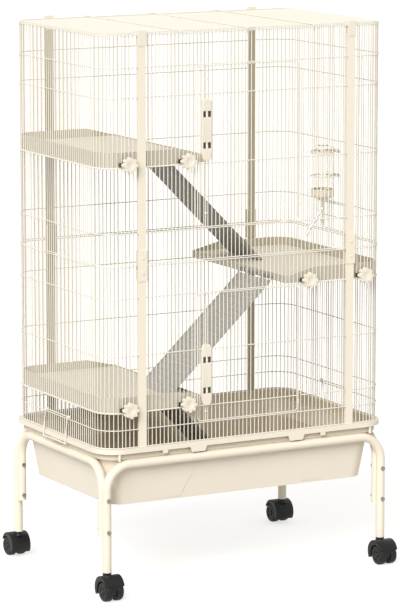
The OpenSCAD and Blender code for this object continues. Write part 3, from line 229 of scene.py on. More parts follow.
def feed(tree, node, values):
    """Gives a node's inputs, by name or number, a socket, a number or a colour each. Returns its outputs."""
    for key, value in values.items():
        if isinstance(value, bpy.types.NodeSocket):
            tree.links.new(value, node.inputs[key])
        else:
            node.inputs[key].default_value = value
    return node.outputs


def add(tree, kind, values=None, **options):
    """A new node with its options set and its inputs fed. Returns its outputs."""
    node = tree.nodes.new(kind)
    for key, value in options.items():
        setattr(node, key, value)
    return feed(tree, node, values or {})


def maths(tree, operation, *values):
    """A maths node on sockets or numbers."""
    return add(tree, "ShaderNodeMath", dict(enumerate(values)), operation=operation)[0]


def noise(tree, scale):
    """Noise over a piece, on its own coordinates."""
    where = add(tree, "ShaderNodeTexCoord")["Object"]
    return add(tree, "ShaderNodeTexNoise", {"Vector": where, "Scale": scale})["Fac"]


def xyz(tree, kind):
    """The three parts of a piece's own coordinates, Object, or of its Normal."""
    return add(tree, "ShaderNodeSeparateXYZ", {0: add(tree, "ShaderNodeTexCoord")[kind]})


def mixed(tree, share, first, second):
    """A colour from first, where share is 0 or less, to second, where it is 1 or more."""
    sockets = {0: share, 6: first, 7: second}
    return add(tree, "ShaderNodeMix", sockets, data_type="RGBA", clamp_factor=True)[2]


def new_group(name, inputs, outputs, fill):
    """A shader node group, or the one that is there already.

    inputs and outputs map the sockets' names to defaults. fill(group, entry) makes the nodes between the
    outputs of the entry and what it returns, a socket for each of the group's outputs.
    """
    if name in bpy.data.node_groups:
        return bpy.data.node_groups[name]
    group = bpy.data.node_groups.new(name, "ShaderNodeTree")
    for side, sockets in (("INPUT", inputs), ("OUTPUT", outputs)):
        for label, value in sockets.items():
            kind = "NodeSocketColor" if isinstance(value, tuple) else "NodeSocketFloat"
            socket = group.interface.new_socket(name=label, in_out=side, socket_type=kind)
            socket.default_value = value
    add(group, "NodeGroupOutput", fill(group, add(group, "NodeGroupInput")))
    return group


def grain_group():
    """Fine grain in a coat or a moulding: a height for the bump and a little unevenness of gloss."""
    patch_scale = 14

    def fill(group, entry):
        centred = maths(group, "SUBTRACT", noise(group, patch_scale), 0.5)
        uneven = maths(group, "MULTIPLY", centred, entry["Spread"])
        return {
            "Height": noise(group, entry["Scale"]),
            "Roughness": maths(group, "ADD", uneven, entry["Gloss"]),
        }

    inputs = {"Scale": 900.0, "Gloss": 0.4, "Spread": 0.08}
    return new_group("fine_grain", inputs, {"Height": 0.0, "Roughness": 0.0}, fill)


def tone_group():
    """A slow drift of tone over a surface, so that no large face is one flat colour."""
    darkest = 0.6

    def fill(group, entry):
        darker = add(group, "ShaderNodeHueSaturation", {"Color": entry["Colour"], "Value": darkest})["Color"]
        amount = maths(group, "MULTIPLY", noise(group, entry["Scale"]), entry["Drift"])
        return {"Colour": mixed(group, amount, entry["Colour"], darker)}

    return new_group("slow_tone", {"Colour": GREY, "Drift": 0.05, "Scale": 6.0}, {"Colour": GREY}, fill)


def inner_painted_shade_group():
    """Painted shade: a darker tone on the faces that look into the cage.

    Low is the height below which faces that look up are shaded too, as the tray's floor is. Neck is the
    middle height of the groove under the tray's rim, which is shaded too.
    """
    upright_from, tilt_share = 0.45, 3.0   # an upright face is shaded from 0.45 on, and a tilted one sooner
    least_inward, least_up, neck_shade_share = 0.1, 0.5, 0.6

    def fill(group, entry):
        do = partial(maths, group)
        place, facing = xyz(group, "Object"), xyz(group, "Normal")
        outward, within = [], []
        for axis, core, edge in ((0, CORE_X, NECK_X), (1, CORE_Y, NECK_Y)):
            distance = do("ABSOLUTE", place[axis])
            past = do("MAXIMUM", do("SUBTRACT", distance, core), 0)
            signed = do("MULTIPLY", past, do("SIGN", place[axis]))
            outward.append(do("MULTIPLY", signed, facing[axis]))
            within.append(do("LESS_THAN", distance, edge))
        inward = do("MULTIPLY", do("ADD", *outward), -INNER_EDGE)
        below = do("LESS_THAN", place[2], entry["Low"])
        tilted = do("MULTIPLY", do("ABSOLUTE", facing[2]), tilt_share)
        walls = do("MAXIMUM", do("SUBTRACT", inward, upright_from), do("MULTIPLY", inward, tilted))
        low_walls = do("GREATER_THAN", do("MULTIPLY", inward, below), least_inward)
        low_floors = do("MULTIPLY", below, do("GREATER_THAN", facing[2], least_up))
        in_neck = do("COMPARE", place[2], entry["Neck"], NECK_HALF)
        in_neck = do("MULTIPLY", in_neck, do("MULTIPLY", *within))
        # painted shade: inward faces, low floors and the neck groove mix towards the darker inner colour
        shade_share = do("MAXIMUM", do("MAXIMUM", walls, low_walls), low_floors)
        shade_share = do("MAXIMUM", shade_share, do("MULTIPLY", in_neck, neck_shade_share))
        return {"Colour": mixed(group, shade_share, entry["Colour"], entry["Inner"])}

    inputs = {"Colour": GREY, "Inner": (0.3, 0.3, 0.3, 1), "Low": 0.0, "Neck": -1.0}
    return new_group("inner_painted_shade", inputs, {"Colour": GREY}, fill)


def top_painted_light_group():
    """Painted light: a tone of its own on the faces that look up, where light from above falls.

    Lean is 1 or -1 for a slope that falls to +X or -X, whose ridges turn their fronts that way. The one that
    falls to -X has the painted light on its flanks too.
    """
    steep, start = 4, -2   # the painted light begins where a face looks half up, and is full at three quarters

    def fill(group, entry):
        do = partial(maths, group)
        facing = xyz(group, "Normal")
        ahead = do("MULTIPLY", facing[0], entry["Lean"])
        flanks = do("MULTIPLY", do("ABSOLUTE", facing[1]), entry["Lean"])
        # painted light: up-facing faces, and ridge fronts and flanks by Lean, mix towards the lighter top
        # colour
        upward = do("SUBTRACT", do("MAXIMUM", facing[2], ahead), do("MINIMUM", flanks, 0))
        share = do("MULTIPLY_ADD", upward, steep, start)
        return {"Colour": mixed(group, share, entry["Colour"], entry["Top"])}

    inputs = {"Colour": GREY, "Top": (0.9, 0.9, 0.9, 1), "Lean": 0.0}
    return new_group("top_painted_light", inputs, {"Colour": GREY}, fill)


# -------------------- finishes


def new_material(name):
    material = bpy.data.materials.new(name)
    material.use_nodes = True
    return material, material.node_tree


def finish(
    name, tint, gloss, grain=900, depth=0.00002, drift=0.06, metallic=0, coat=0, inner=None, low=0, neck=-1,
    top=None, lean=0, shine=0.5
):
    """A painted, moulded or plated finish, or the one that is there already.

    gloss is the roughness of the surface, grain the scale of its texture, depth the texture's height and
    drift the share of the slow tone. coat is the weight of a clear coat, shine the strength of reflections.
    inner is the tint's share in the painted shade on faces that look into the cage; low and neck are heights
    for its group. top is the tint's share in the painted light on faces that look up, and lean is for its
    group.
    """
    if name in bpy.data.materials:
        return bpy.data.materials[name]
    material, tree = new_material(name)

    def group(made, **values):
        return add(tree, "ShaderNodeGroup", values, node_tree=made)

    # the tint scaled for painted shade on inner faces or painted light on faces that look up
    def shaded_or_lit(shares):
        return (*(part * share for part, share in zip(tint, shares)), 1)

    tone = group(tone_group(), Colour=(*tint, 1), Drift=drift)["Colour"]
    if inner:
        tone = group(inner_painted_shade_group(), Colour=tone, Inner=shaded_or_lit(inner), Low=low, Neck=neck)["Colour"]
    if top:
        tone = group(top_painted_light_group(), Colour=tone, Top=shaded_or_lit(top), Lean=lean)["Colour"]
    fine = group(grain_group(), Scale=grain, Gloss=gloss)
    relief = {"Strength": 0.35, "Distance": depth, "Height": fine["Height"]}
    bump = add(tree, "ShaderNodeBump", relief)["Normal"]
    feed(tree, tree.nodes["Principled BSDF"], {
        "Base Color": tone, "Roughness": fine["Roughness"], "Normal": bump, "Metallic": metallic,
        "Coat Weight": coat, "Specular IOR Level": shine
    })
    return material


def wire_coat(paint):
    # inner: painted shade on the sides of the wires that look into the cage
    return finish("wire_coat", paint.wire, 0.38, grain=700, coat=0.15, inner=(0.72, 0.7, 0.64))


def tube_coat(paint):
    return finish("tube_coat", paint.tube, 0.4, grain=600, coat=0.1)


def post_coat(paint):
    # inner: painted shade on the faces of posts, joiners and screws that look into the cage
    return finish("post_coat", paint.tube, 0.4, grain=600, coat=0.1, inner=(0.48, 0.46, 0.4))


def fitting_plastic(paint):
    return finish("fitting_plastic", paint.fitting, 0.42, grain=1200)


def shelf_plastic(paint):
    # inner is painted shade on the faces that look into the cage, top painted light on the faces that look up
    inner, top = (0.82, 0.81, 0.77), (1.42, 1.42, 1.4)
    return finish("shelf_moulding", paint.shelf, 0.55, grain=1500, depth=0.00004, inner=inner, top=top)


def tray_plastic(paint):
    # inner is painted shade on the tray's inward faces, its floor and the groove under its rim
    return finish(
        "tray_moulding", paint.tray, 0.5, grain=1400, depth=0.00003, inner=(0.68, 0.645, 0.565), low=TRAY_LOW,
        neck=NECK_Z
    )


def ramp_plastic(paint, lean):
    name = "ramp_moulding_right" if lean > 0 else "ramp_moulding_left"
    # top is painted light: faces that look up and ridge fronts are almost twice as light as the rest
    return finish(name, paint.ramp, 0.6, grain=1500, depth=0.00004, top=(1.92, 1.92, 1.92), lean=lean)


def caster_nylon(paint):
    return finish("caster_nylon", paint.caster, 0.42, grain=1200, shine=0.28)


def wheel_nylon(paint):
    return finish("wheel_nylon", [part * 1.2 for part in paint.caster], 0.5, grain=1200, shine=0.28)


def black_coat_and_shade(paint):
    return finish("black_coat_and_shade", paint.bolt, 0.5, shine=0.28)


def spout_steel(paint):
    return finish("spout_steel", [min(1, part * 2.4) for part in paint.steel], 0.3, grain=500, metallic=1)


def zinc_plate(paint):
    return finish("zinc_plate", paint.steel, 0.32, grain=500, metallic=1)


def clear_plastic():
    """Thin clear bottle plastic."""
    material, tree = new_material("clear_plastic")
    feed(tree, tree.nodes["Principled BSDF"], {
        "Base Color": (0.97, 0.965, 0.94, 1), "Roughness": 0.04, "IOR": 1.07, "Transmission Weight": 1
    })
    return material


# -------------------- making pieces


def coat(material, *names):
    """Gives CAD pieces their finish."""
    for name in names:
        piece = NODES[name]
        piece.data.materials.clear()
        piece.data.materials.append(material)


def only(parts, kind):
    """The parts of one kind, such as bmesh.types.BMVert."""
    return [part for part in parts if isinstance(part, kind)]


def distinct(parts):
    """The parts without repeats, in the order in which they came."""
    return list(dict.fromkeys(parts))


class Bender:
    """Bends one round wire: straight runs, and turns about an axis, from a starting place and heading."""

    def __init__(self, mesh, start, heading, axis, thickness, sides):
        self.mesh = mesh
        self.place = Vector(start)
        self.heading = Vector(heading).normalized()
        self.axis = Vector(axis).normalized()
        facing = self.heading.to_track_quat("Z", "Y").to_matrix().to_4x4()
        made = bmesh.ops.create_circle(
            mesh, segments=sides, radius=thickness / 2, matrix=Matrix.Translation(self.place) @ facing
        )
        self.ring = distinct(edge for vert in made["verts"] for edge in vert.link_edges)

    def run(self, distance):
        made = bmesh.ops.extrude_edge_only(self.mesh, edges=self.ring)["geom"]
        verts = only(made, bmesh.types.BMVert)
        bmesh.ops.translate(self.mesh, verts=verts, vec=self.heading * distance)
        self.place += self.heading * distance
        edges = only(made, bmesh.types.BMEdge)
        self.ring = [edge for edge in edges if all(vert in verts for vert in edge.verts)]

    def turn(self, radius, angle, steps):
        """Positive turns go round the axis by the right-hand rule."""
        side = self.axis.cross(self.heading) * math.copysign(radius, angle)
        centre = self.place + side
        corners = distinct(vert for edge in self.ring for vert in edge.verts)
        made = bmesh.ops.spin(
            self.mesh, geom=corners + self.ring, cent=centre, axis=self.axis, angle=angle, steps=steps,
            use_merge=False, use_duplicate=False
        )["geom_last"]
        self.ring = only(made, bmesh.types.BMEdge)
        bend = Matrix.Rotation(angle, 3, self.axis)
        self.place = centre - bend @ side
        self.heading = bend @ self.heading

    def close(self, half_across, half_along, radius, steps):
        """A closed frame with round corners, from the middle of one side back to it."""
        for across, along in ((half_across, half_along), (half_along, half_across)) * 2:
            self.run(across - radius)
            self.turn(radius, QUARTER, steps)
            self.run(along - radius)


def rod(mesh, start, end, thickness, sides):
    """A straight round wire between two points."""
    start, end = Vector(start), Vector(end)
    along = end - start
    facing = along.to_track_quat("Z", "Y").to_matrix().to_4x4()
    bmesh.ops.create_cone(
        mesh, cap_ends=True, segments=sides, radius1=thickness / 2, radius2=thickness / 2, depth=along.length,
        matrix=Matrix.Translation((start + end) / 2) @ facing
    )


def turned(mesh, place, spots, sides=48):
    """A ring turned about an upright line through place, from the (radius, height) corners of its section."""
    section = bmesh.ops.create_circle(mesh, segments=len(spots), radius=1)["verts"]
    for vert, (x, z) in zip(section, spots):
        vert.co = place + Vector((x, 0, z))
    edges = distinct(edge for vert in section for edge in vert.link_edges)
    bmesh.ops.spin(
        mesh, geom=section + edges, cent=place, axis=Z, angle=math.tau, steps=sides, use_merge=True,
        use_duplicate=False
    )


def sleeve(mesh, middle, inner, outer, height, sides=20):
    """A short upright tube."""
    half = height / 2
    turned(mesh, middle, [(inner, -half), (outer, -half), (outer, half), (inner, half)], sides)


def thicken(mesh, faces, shift):
    """Draws faces out into a solid."""
    made = bmesh.ops.extrude_face_region(mesh, geom=faces)["geom"]
    bmesh.ops.translate(mesh, verts=only(made, bmesh.types.BMVert), vec=shift)


def soften(mesh, offset):
    """Rounds the sharp edges of a mesh."""
    sharp = math.radians(50)
    edges = [edge for edge in mesh.edges if edge.calc_face_angle(0) > sharp]
    bmesh.ops.bevel(
        mesh, geom=edges, offset=offset, offset_type="OFFSET", segments=2, profile=0.5, affect="EDGES",
        material=-1, clamp_overlap=True
    )


def carry(mesh, matrix):
    """Moves, turns or mirrors a whole mesh."""
    bmesh.ops.transform(mesh, verts=mesh.verts, matrix=matrix)


def close_and_shade(mesh):
    sharp = math.radians(40)
    bmesh.ops.remove_doubles(mesh, verts=mesh.verts, dist=0.01 * MM)
    bmesh.ops.holes_fill(mesh, edges=[edge for edge in mesh.edges if edge.is_boundary], sides=0)
    bmesh.ops.recalc_face_normals(mesh, faces=mesh.faces)
    for face in mesh.faces:
        face.smooth = True
    for edge in mesh.edges:
        edge.smooth = edge.calc_face_angle(0) < sharp


def new_object(mesh, name, material):
    """Makes an object in the scene from its bmesh."""
    data = bpy.data.meshes.new(name)
    mesh.to_mesh(data)
    mesh.free()
    data.materials.append(material)
    made = bpy.data.objects.new(name, data)
    bpy.context.scene.collection.objects.link(made)
    return made


def place_piece(mesh, name, material, body, slot, *stands_for):
    """Makes the piece from its bmesh, puts it on its body and hides the solids it stands for."""
    close_and_shade(mesh)
    piece = new_object(mesh, name, material)
    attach(piece, body)
    if stands_for:
        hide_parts(*stands_for)


# -------------------- walls


def side_wall(wires, places, span, levels, carriers, opening=None):
    """A side wall, from the front post round to the back one, as on the left. opening is (y0, y1, z0, z1)."""
    mesh = bmesh.new()
    hx, hy, r = places.half_x, places.half_y, wires.corner
    low, high = span
    beside_knob, slack = range(-3, 6), 1 * MM

    def upright(x, y, thickness=wires.upright, z0=low, z1=high):
        rod(mesh, (x, y, z0), (x, y, z1), thickness, wires.sides)

    straight = math.floor((hy - r) / wires.pitch)
    for k in range(-straight, straight + 1):
        y = k * wires.pitch
        if opening and opening[0] - wires.upright < y < opening[1] + wires.upright:
            upright(-hx, y, z0=opening[3])
            if opening[2] - low > 2 * wires.level:
                upright(-hx, y, z1=opening[2])
        else:
            upright(-hx, y)
    steps = round(r * QUARTER / wires.pitch)
    for side in (-1, 1):
        for i in range(steps):
            a = (i + 0.5) * QUARTER / steps
            upright(-hx + r - r * math.cos(a), side * (hy - r + r * math.sin(a)))
        for k in beside_knob:
            x = places.knob_x + wires.pitch * (k + 0.5)
            if places.post_x + places.clear < x < hx - r + slack:
                upright(-x, side * hy)
        upright(-places.side_edge, side * hy, wires.edge)
    if opening:
        for y in opening[:2]:
            upright(-hx, y, wires.edge, opening[2] - wires.weld, opening[3] + wires.weld)
    for z in levels:
        around_side(mesh, places, wires, z, places.level_off, wires.level, places.side_edge)
    for z in carriers:
        around_side(mesh, places, wires, z, -places.carrier_off, wires.carrier, places.post_x + places.clear)
    return mesh


def around_side(mesh, places, wires, z, off, thickness, from_x):
    """One level wire from the front post round the side to the back post, off the uprights' line by off."""
    hx, hy, r = places.half_x + off, places.half_y + off, wires.corner + off
    wire = Bender(mesh, (-from_x, -hy, z), -X, Z, thickness, wires.sides)
    wire.run(hx - r - from_x)
    wire.turn(r, -QUARTER, 12)
    wire.run(2 * (hy - r))
    wire.turn(r, -QUARTER, 12)
    wire.run(hx - r - from_x)


def straight_wall(wires, doors, places, span, levels, carriers, door=None):
    """The wall between two posts, as the front one. door is (sill, head) of its opening."""
    mesh = bmesh.new()
    hy = places.half_y
    low, high = span

    def upright(x, thickness=wires.upright, z0=low, z1=high):
        rod(mesh, (x, -hy, z0), (x, -hy, z1), thickness, wires.sides)

    last = math.floor((places.post_x - places.clear) / wires.pitch)
    for k in range(-last, last + 1):
        x = k * wires.pitch
        if door and -doors.jamb_x - wires.upright / 2 < x < doors.hinge_x + wires.upright / 2:
            upright(x, z1=door[0])
            upright(x, z0=door[1])
        else:
            upright(x)
    for x in (-places.wall_edge, places.wall_edge):
        upright(x, wires.edge)
    if door:
        for x in (-doors.jamb_x, doors.hinge_x):
            upright(x, wires.edge, door[0] - wires.weld, door[1] + wires.weld)
    for z in levels:
        y = -hy - places.level_off
        runs = [(-places.wall_edge, places.wall_edge)]
        if door and door[0] < z < door[1]:
            runs = [(-places.wall_edge, -doors.jamb_x), (doors.hinge_x + PAST_HINGE, places.wall_edge)]
        for x0, x1 in runs:
            rod(mesh, (x0, y, z), (x1, y, z), wires.level, wires.sides)
    carrier_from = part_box("shelf_middle")[0].x + CARRIER_INSET
    for z, side in carriers:
        y = -hy + places.carrier_off
        ends = side * carrier_from, side * (places.post_x - places.clear)
        rod(mesh, (ends[0], y, z), (ends[1], y, z), wires.carrier, wires.sides)
    return mesh


class CAGE_OT_weave_walls(bpy.types.Operator):
    """Weaves the eight walls in round wire."""

    bl_idname = "cage.weave_walls"
    bl_label = "Weave the walls"

    def execute(self, context):
        wires, doors, paint, _ = settings(context)
        places = Places(wires, doors)
        low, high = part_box("feeder_door")
        feeder = (FEEDER_JAMB, high.y - EYE_WALL - wires.edge / 2, low.z - doors.gap, high.z + doors.gap)
        low_left, low_right, high_left = [places.shelf_low], [places.shelf_mid], [places.shelf_high]
        for storey, span, levels, left, right, opening, door in (
            ("lower", places.lower, places.lower_levels, low_left, low_right, None, places.low_door),
            ("upper", places.upper, places.upper_levels, high_left, [], feeder, places.high_door),
        ):
            carriers = [(z, -1) for z in left] + [(z, 1) for z in right]
            walls = {
                "left": side_wall(wires, places, span, levels, left),
                "right": side_wall(wires, places, span, levels, right, opening),
                "front": straight_wall(wires, doors, places, span, levels, carriers, door),
                "back": straight_wall(wires, doors, places, span, levels, carriers),
            }
            if storey == "lower":
                self.clip_pivot(walls["left"], wires)
                self.clip_pivot(walls["right"], wires)
            carry(walls["right"], Matrix.Scale(-1, 4, X))
            carry(walls["back"], Matrix.Scale(-1, 4, Y))
            for side, mesh in walls.items():
                name = "wall_%s_%s" % (side, storey)
                place_piece(mesh, name + "_wires", wire_coat(paint), "root", "cream_wire", name)
        return {"FINISHED"}

    def clip_pivot(self, mesh, wires):
        """The wire that a tray clip turns on, on the left wall."""
        past, below = 9 * MM, 4 * MM
        low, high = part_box("tray_clip_left")
        x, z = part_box("wall_left_lower")[0].x + wires.edge / 2, high.z - below
        rod(mesh, (x, low.y - past, z), (x, high.y + past, z), wires.edge, wires.sides)


class CAGE_OT_lay_top(bpy.types.Operator):
    """Lays the top panel: a ring, close wires along it and three cross bars that hook over the walls."""

    bl_idname = "cage.lay_top"
    bl_label = "Lay the top panel"

    def execute(self, context):
        wires, _, paint, _ = settings(context)
        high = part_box("top_panel")[1]
        bar, bar_bend, hook = 3 * MM, 3 * MM, 13 * MM
        ring, ring_r, edge_gap = 2.6 * MM, wires.corner - 3 * MM, 4 * MM
        wires_z = high.z - bar - wires.upright / 2 + wires.weld
        ring_z = wires_z - wires.upright / 2 - ring / 2 + wires.weld
        ring_x, ring_y = high.x - ring / 2, TOP_HALF_Y - ring / 2
        mesh = bmesh.new()
        Bender(mesh, (0, -ring_y, ring_z), X, Z, ring, wires.sides).close(ring_x, ring_y, ring_r, 12)
        rows = math.floor((ring_y - edge_gap) / wires.pitch)
        for k in range(-rows, rows + 1):
            y = k * wires.pitch
            into_corner = max(0, abs(y) - (ring_y - ring_r))
            reach = ring_x - ring_r + math.sqrt(ring_r ** 2 - into_corner ** 2)
            rod(mesh, (-reach, y, wires_z), (reach, y, wires_z), wires.upright, wires.sides)
        outer_y = high.y - bar / 2
        for x in TOP_BARS:
            wire = Bender(mesh, (x, -outer_y, high.z - hook), Z, -X, bar, wires.sides)
            wire.run(hook - bar / 2 - bar_bend)
            wire.turn(bar_bend, QUARTER, 6)
            wire.run(2 * (outer_y - bar_bend))
            wire.turn(bar_bend, QUARTER, 6)
            wire.run(hook - bar / 2 - bar_bend)
        place_piece(mesh, "top_panel_wires", wire_coat(paint), "root", "cream_wire", "top_panel")
        return {"FINISHED"}


# -------------------- doors


def door_mesh(wires, doors, places, left, right, span, levels, eyes, guides, corner):
    """A door in the front wall's plane: its frame, uprights, level wires, hinge eyes and bar guides."""
    mesh = bmesh.new()
    hy = places.half_y
    y = -hy - places.level_off
    inset, edge_gap, past, bar_back = wires.level / 2, 3 * MM, 0.5 * MM, 0.8 * MM
    x0, x1, z0, z1 = left + inset, right - inset, span[0] + inset, span[1] - inset
    r = corner - inset
    wire = Bender(mesh, ((x0 + x1) / 2, y, z0), X, -Y, wires.level, wires.sides)
    wire.close((x1 - x0) / 2, (z1 - z0) / 2, r, 6)
    reach = math.floor(max(-left, right) / wires.pitch)
    for k in range(-reach, reach + 1):
        x = k * wires.pitch
        if x0 + edge_gap < x < x1 - edge_gap:
            near = max(0, r - (x - x0), r - (x1 - x))
            rise = r - math.sqrt(r * r - near * near) - past
            rod(mesh, (x, -hy, z0 + rise), (x, -hy, z1 - rise), wires.upright, wires.sides)
    for z in levels:
        rod(mesh, (x0, y, z), (x1, y, z), wires.level, wires.sides)
    for z in eyes:
        hinge_eye(mesh, wires, doors.eye, Vector((right + HINGE_GAP, -hy, z)), Vector((x1, y, z)))
    for z in guides:
        bar_guide(mesh, wires, Vector((doors.latch_x, bar_back - hy, z)))
    return mesh


def hinge_eye(mesh, wires, height, middle, on_frame):
    """An eye round the hinge wire, with two tabs to the door's frame."""
    pin, play, tab, tab_off = wires.edge / 2, 0.05 * MM, 1.6 * MM, Z * 2 * MM
    on_eye = middle - Vector((pin + 0.6 * MM, 1.2 * MM, 0))
    sleeve(mesh, middle, pin + play, pin + EYE_WALL, height)
    for off in (-tab_off, tab_off):
        rod(mesh, on_eye + off, on_frame + off, tab, wires.sides)


def bar_guide(mesh, wires, middle):
    """A ring that a latch bar slides in, with an arm to the upright on each side."""
    inner, outer, height, arm, ahead = 1.5 * MM, 2.7 * MM, 4 * MM, 2.2 * MM, 0.6 * MM
    sleeve(mesh, middle, inner, outer, height, 16)
    for side in (-1, 1):
        on_upright = middle + X * side * wires.pitch / 2 - Y * ahead
        rod(mesh, middle + X * side * arm, on_upright, arm, wires.sides)


class CAGE_OT_hang_doors(bpy.types.Operator):
    """Hangs the two front doors and the feeder door, in round wire."""

    bl_idname = "cage.hang_doors"
    bl_label = "Hang the doors"

    def execute(self, context):
        wires, doors, paint, _ = settings(context)
        places = Places(wires, doors)
        right = doors.hinge_x - HINGE_GAP
        made = {}
        for storey, (sill, head), levels in (
            ("upper", places.high_door, [places.shelf_high, places.mid_high]),
            ("lower", places.low_door, [places.shelf_low, places.mid_low]),
        ):
            name = "door_" + storey
            eyes = [sill + EYES[storey][0], (sill + head) / 2, head - EYES[storey][1]]
            guides = [sill + GUIDES[storey][0], head - GUIDES[storey][1]]
            made[name] = door_mesh(
                wires, doors, places, DOOR_LEFT, right, heights(name), levels, eyes, guides, doors.corner
            )
        made["feeder_door"] = self.feeder(wires, doors, places)
        for name, mesh in made.items():
            place_piece(mesh, name + "_wires", wire_coat(paint), name, "cream_wire", name)
        return {"FINISHED"}

    def feeder(self, wires, doors, places):
        """The feeder door, made as a front door and turned into the right wall."""
        low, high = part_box("feeder_door")
        right = high.y - EYE_WALL - wires.edge / 2 - HINGE_GAP
        eyes = [low.z + FEEDER_EYE, high.z - FEEDER_EYE]
        levels = [(low.z + high.z) / 2]
        mesh = door_mesh(
            wires, doors, places, low.y, right, (low.z, high.z), levels, eyes, [], FEEDER_CORNER
        )
        shift = Matrix.Translation((places.half_x - places.half_y, 0, 0))
        carry(mesh, shift @ Matrix.Rotation(QUARTER, 4, Z))
        return mesh


# -------------------- pieces whose solids are kept


class CAGE_OT_coat_stand(bpy.types.Operator):
    """Coats the tube stand and plates its bolts and nuts."""

    bl_idname = "cage.coat_stand"
    bl_label = "Coat the stand"

    def execute(self, context):
        paint = settings(context)[2]
        coat(tube_coat(paint), *("stand_%s_frame" % side for side in ("front", "back", "left", "right")))
        coat(zinc_plate(paint), "stand_bolts", "stand_nuts")
        return {"FINISHED"}


class CAGE_OT_fit_casters(bpy.types.Operator):
    """Gives the casters their black nylon and their broad hoods."""

    bl_idname = "cage.fit_casters"
    bl_label = "Fit the casters"

    def execute(self, context):
        paint = settings(context)[2]
        corners = ("fl", "fr", "bl", "br")
        coat(caster_nylon(paint), "caster_sockets")
        coat(wheel_nylon(paint), *("caster_wheels_" + corner for corner in corners))
        for corner in corners:
            fork = "caster_fork_" + corner
            mesh = self.hood(corner)
            place_piece(mesh, fork + "_hood", caster_nylon(paint), fork, "caster_plastic", fork)
        return {"FINISHED"}

    def hood(self, corner):
        """The broad hood over both wheels, its web between them and the stem, as at a front corner."""
        ahead, gap, rim, web_floor, hub, rounding = 14 * MM, 0.8 * MM, 1.2 * MM, 20 * MM, 9 * MM, 0.7 * MM
        boss_low, boss_high, boss_tall, boss_depth = 12 * MM, 10 * MM, 7 * MM, 4 * MM
        stem, stem_depth, arc_steps = 10 * MM, 10 * MM, 30
        axle = sum(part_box("caster_wheels_" + corner), Vector()) / 2
        leg_y = -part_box("caster_sockets")[1].y + SOCKET_R
        top, stem_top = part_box("caster_sockets")[0].z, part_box("caster_fork_" + corner)[1].z
        middle = Vector((axle.x, leg_y - ahead, top - HOOD_OUTER - gap))
        wheel = Vector((axle.x, -abs(axle.y), axle.z))
        outer, inner = (HOOD_OUTER, middle, OUTER_ARC), (HOOD_INNER, wheel, INNER_ARC)
        mesh = bmesh.new()
        bmesh.ops.create_grid(mesh, x_segments=arc_steps, y_segments=1, size=1)
        for vert in mesh.verts:
            radius, about, (first, last) = outer if vert.co.y > 0 else inner
            around = Matrix.Rotation(math.radians(first + (last - first) * (vert.co.x + 1) / 2), 3, X)
            vert.co = about - X * HOOD_HALF + around @ (Y * radius)
        thicken(mesh, mesh.faces[:], X * 2 * HOOD_HALF)
        bmesh.ops.recalc_face_normals(mesh, faces=mesh.faces)
        self.web(mesh, middle, HOOD_OUTER - rim, web_floor)
        self.web(mesh, wheel, hub, 0)
        soften(mesh, rounding)
        bmesh.ops.create_cone(
            mesh, cap_ends=True, segments=32, radius1=boss_low, radius2=boss_high, depth=boss_tall,
            matrix=Matrix.Translation((axle.x, leg_y, top - boss_depth))
        )
        rod(mesh, (axle.x, leg_y, top - stem_depth), (axle.x, leg_y, stem_top), stem, 24)
        if axle.y > 0:
            carry(mesh, Matrix.Scale(-1, 4, Y))
        return mesh

    def web(self, mesh, middle, radius, floor):
        """A disc in the web's thickness, cut off below the height floor."""
        half = 5 * MM
        facing = Matrix.Translation(middle - X * half) @ Matrix.Rotation(QUARTER, 4, Y)
        disc = bmesh.ops.create_circle(
            mesh, cap_ends=True, segments=48, radius=radius, matrix=facing
        )["verts"]
        parts = distinct(part for vert in disc for part in [*vert.link_edges, *vert.link_faces]) + disc
        kept = bmesh.ops.bisect_plane(mesh, geom=parts, plane_co=Z * floor, plane_no=-Z, clear_outer=True)
        thicken(mesh, only(kept["geom"], bmesh.types.BMFace), X * 2 * half)


class CAGE_OT_mould_tray(bpy.types.Operator):
    """Gives the base tray its plastic, its step and its pegs, and the tray clips their coat."""

    bl_idname = "cage.mould_tray"
    bl_label = "Mould the tray"

    def execute(self, context):
        paint = settings(context)[2]
        coat(tray_plastic(paint), "base_tray")
        place_piece(self.pegs(), "tray_pegs", tube_coat(paint), "root", "cream_tube")
        place_piece(self.flanks(), "tray_flanks", tray_plastic(paint), "root", "tray_plastic")
        coat(wire_coat(paint), "tray_clip_left", "tray_clip_right")
        return {"FINISHED"}

    def pegs(self):
        """Four short pegs between the stand and the tray's rim."""
        peg, sunk, tall = 7 * MM, 1.5 * MM, 17 * MM
        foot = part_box("stand_front_frame")[1].z
        mesh = bmesh.new()
        for x in (-PEG_X, PEG_X):
            for y in (-PEG_Y, PEG_Y):
                rod(mesh, (x, y, foot - sunk), (x, y, foot + tall), peg, 24)
        return mesh

    def flanks(self):
        """The hopper's front and back stand out a little on both sides of a slanting step."""
        proud, faded, sunk, faded_x = 1.1 * MM, -0.4 * MM, -1.5 * MM, 300 * MM
        mesh = bmesh.new()
        for side in (-1, 1):
            for end in (-1, 1):
                for vert in bmesh.ops.create_cube(mesh, size=2)["verts"]:
                    by_step, outside = vert.co.x < 0, vert.co.y < 0
                    step_x, face_y, z = STEP_HIGH if vert.co.z > 0 else STEP_LOW
                    out = (proud if by_step else faded) if outside else sunk
                    vert.co = (side * (step_x if by_step else faded_x), end * (face_y - out), z)
        return mesh


class CAGE_OT_coat_posts(bpy.types.Operator):
    """Coats the posts, their joiners and their screws, and gives the caps their plastic."""

    bl_idname = "cage.coat_posts"
    bl_label = "Coat the posts"

    def execute(self, context):
        paint = settings(context)[2]
        coat(post_coat(paint), "posts_lower", "posts_upper", "post_joiners", "joiner_screws")
        coat(fitting_plastic(paint), "post_caps")
        return {"FINISHED"}


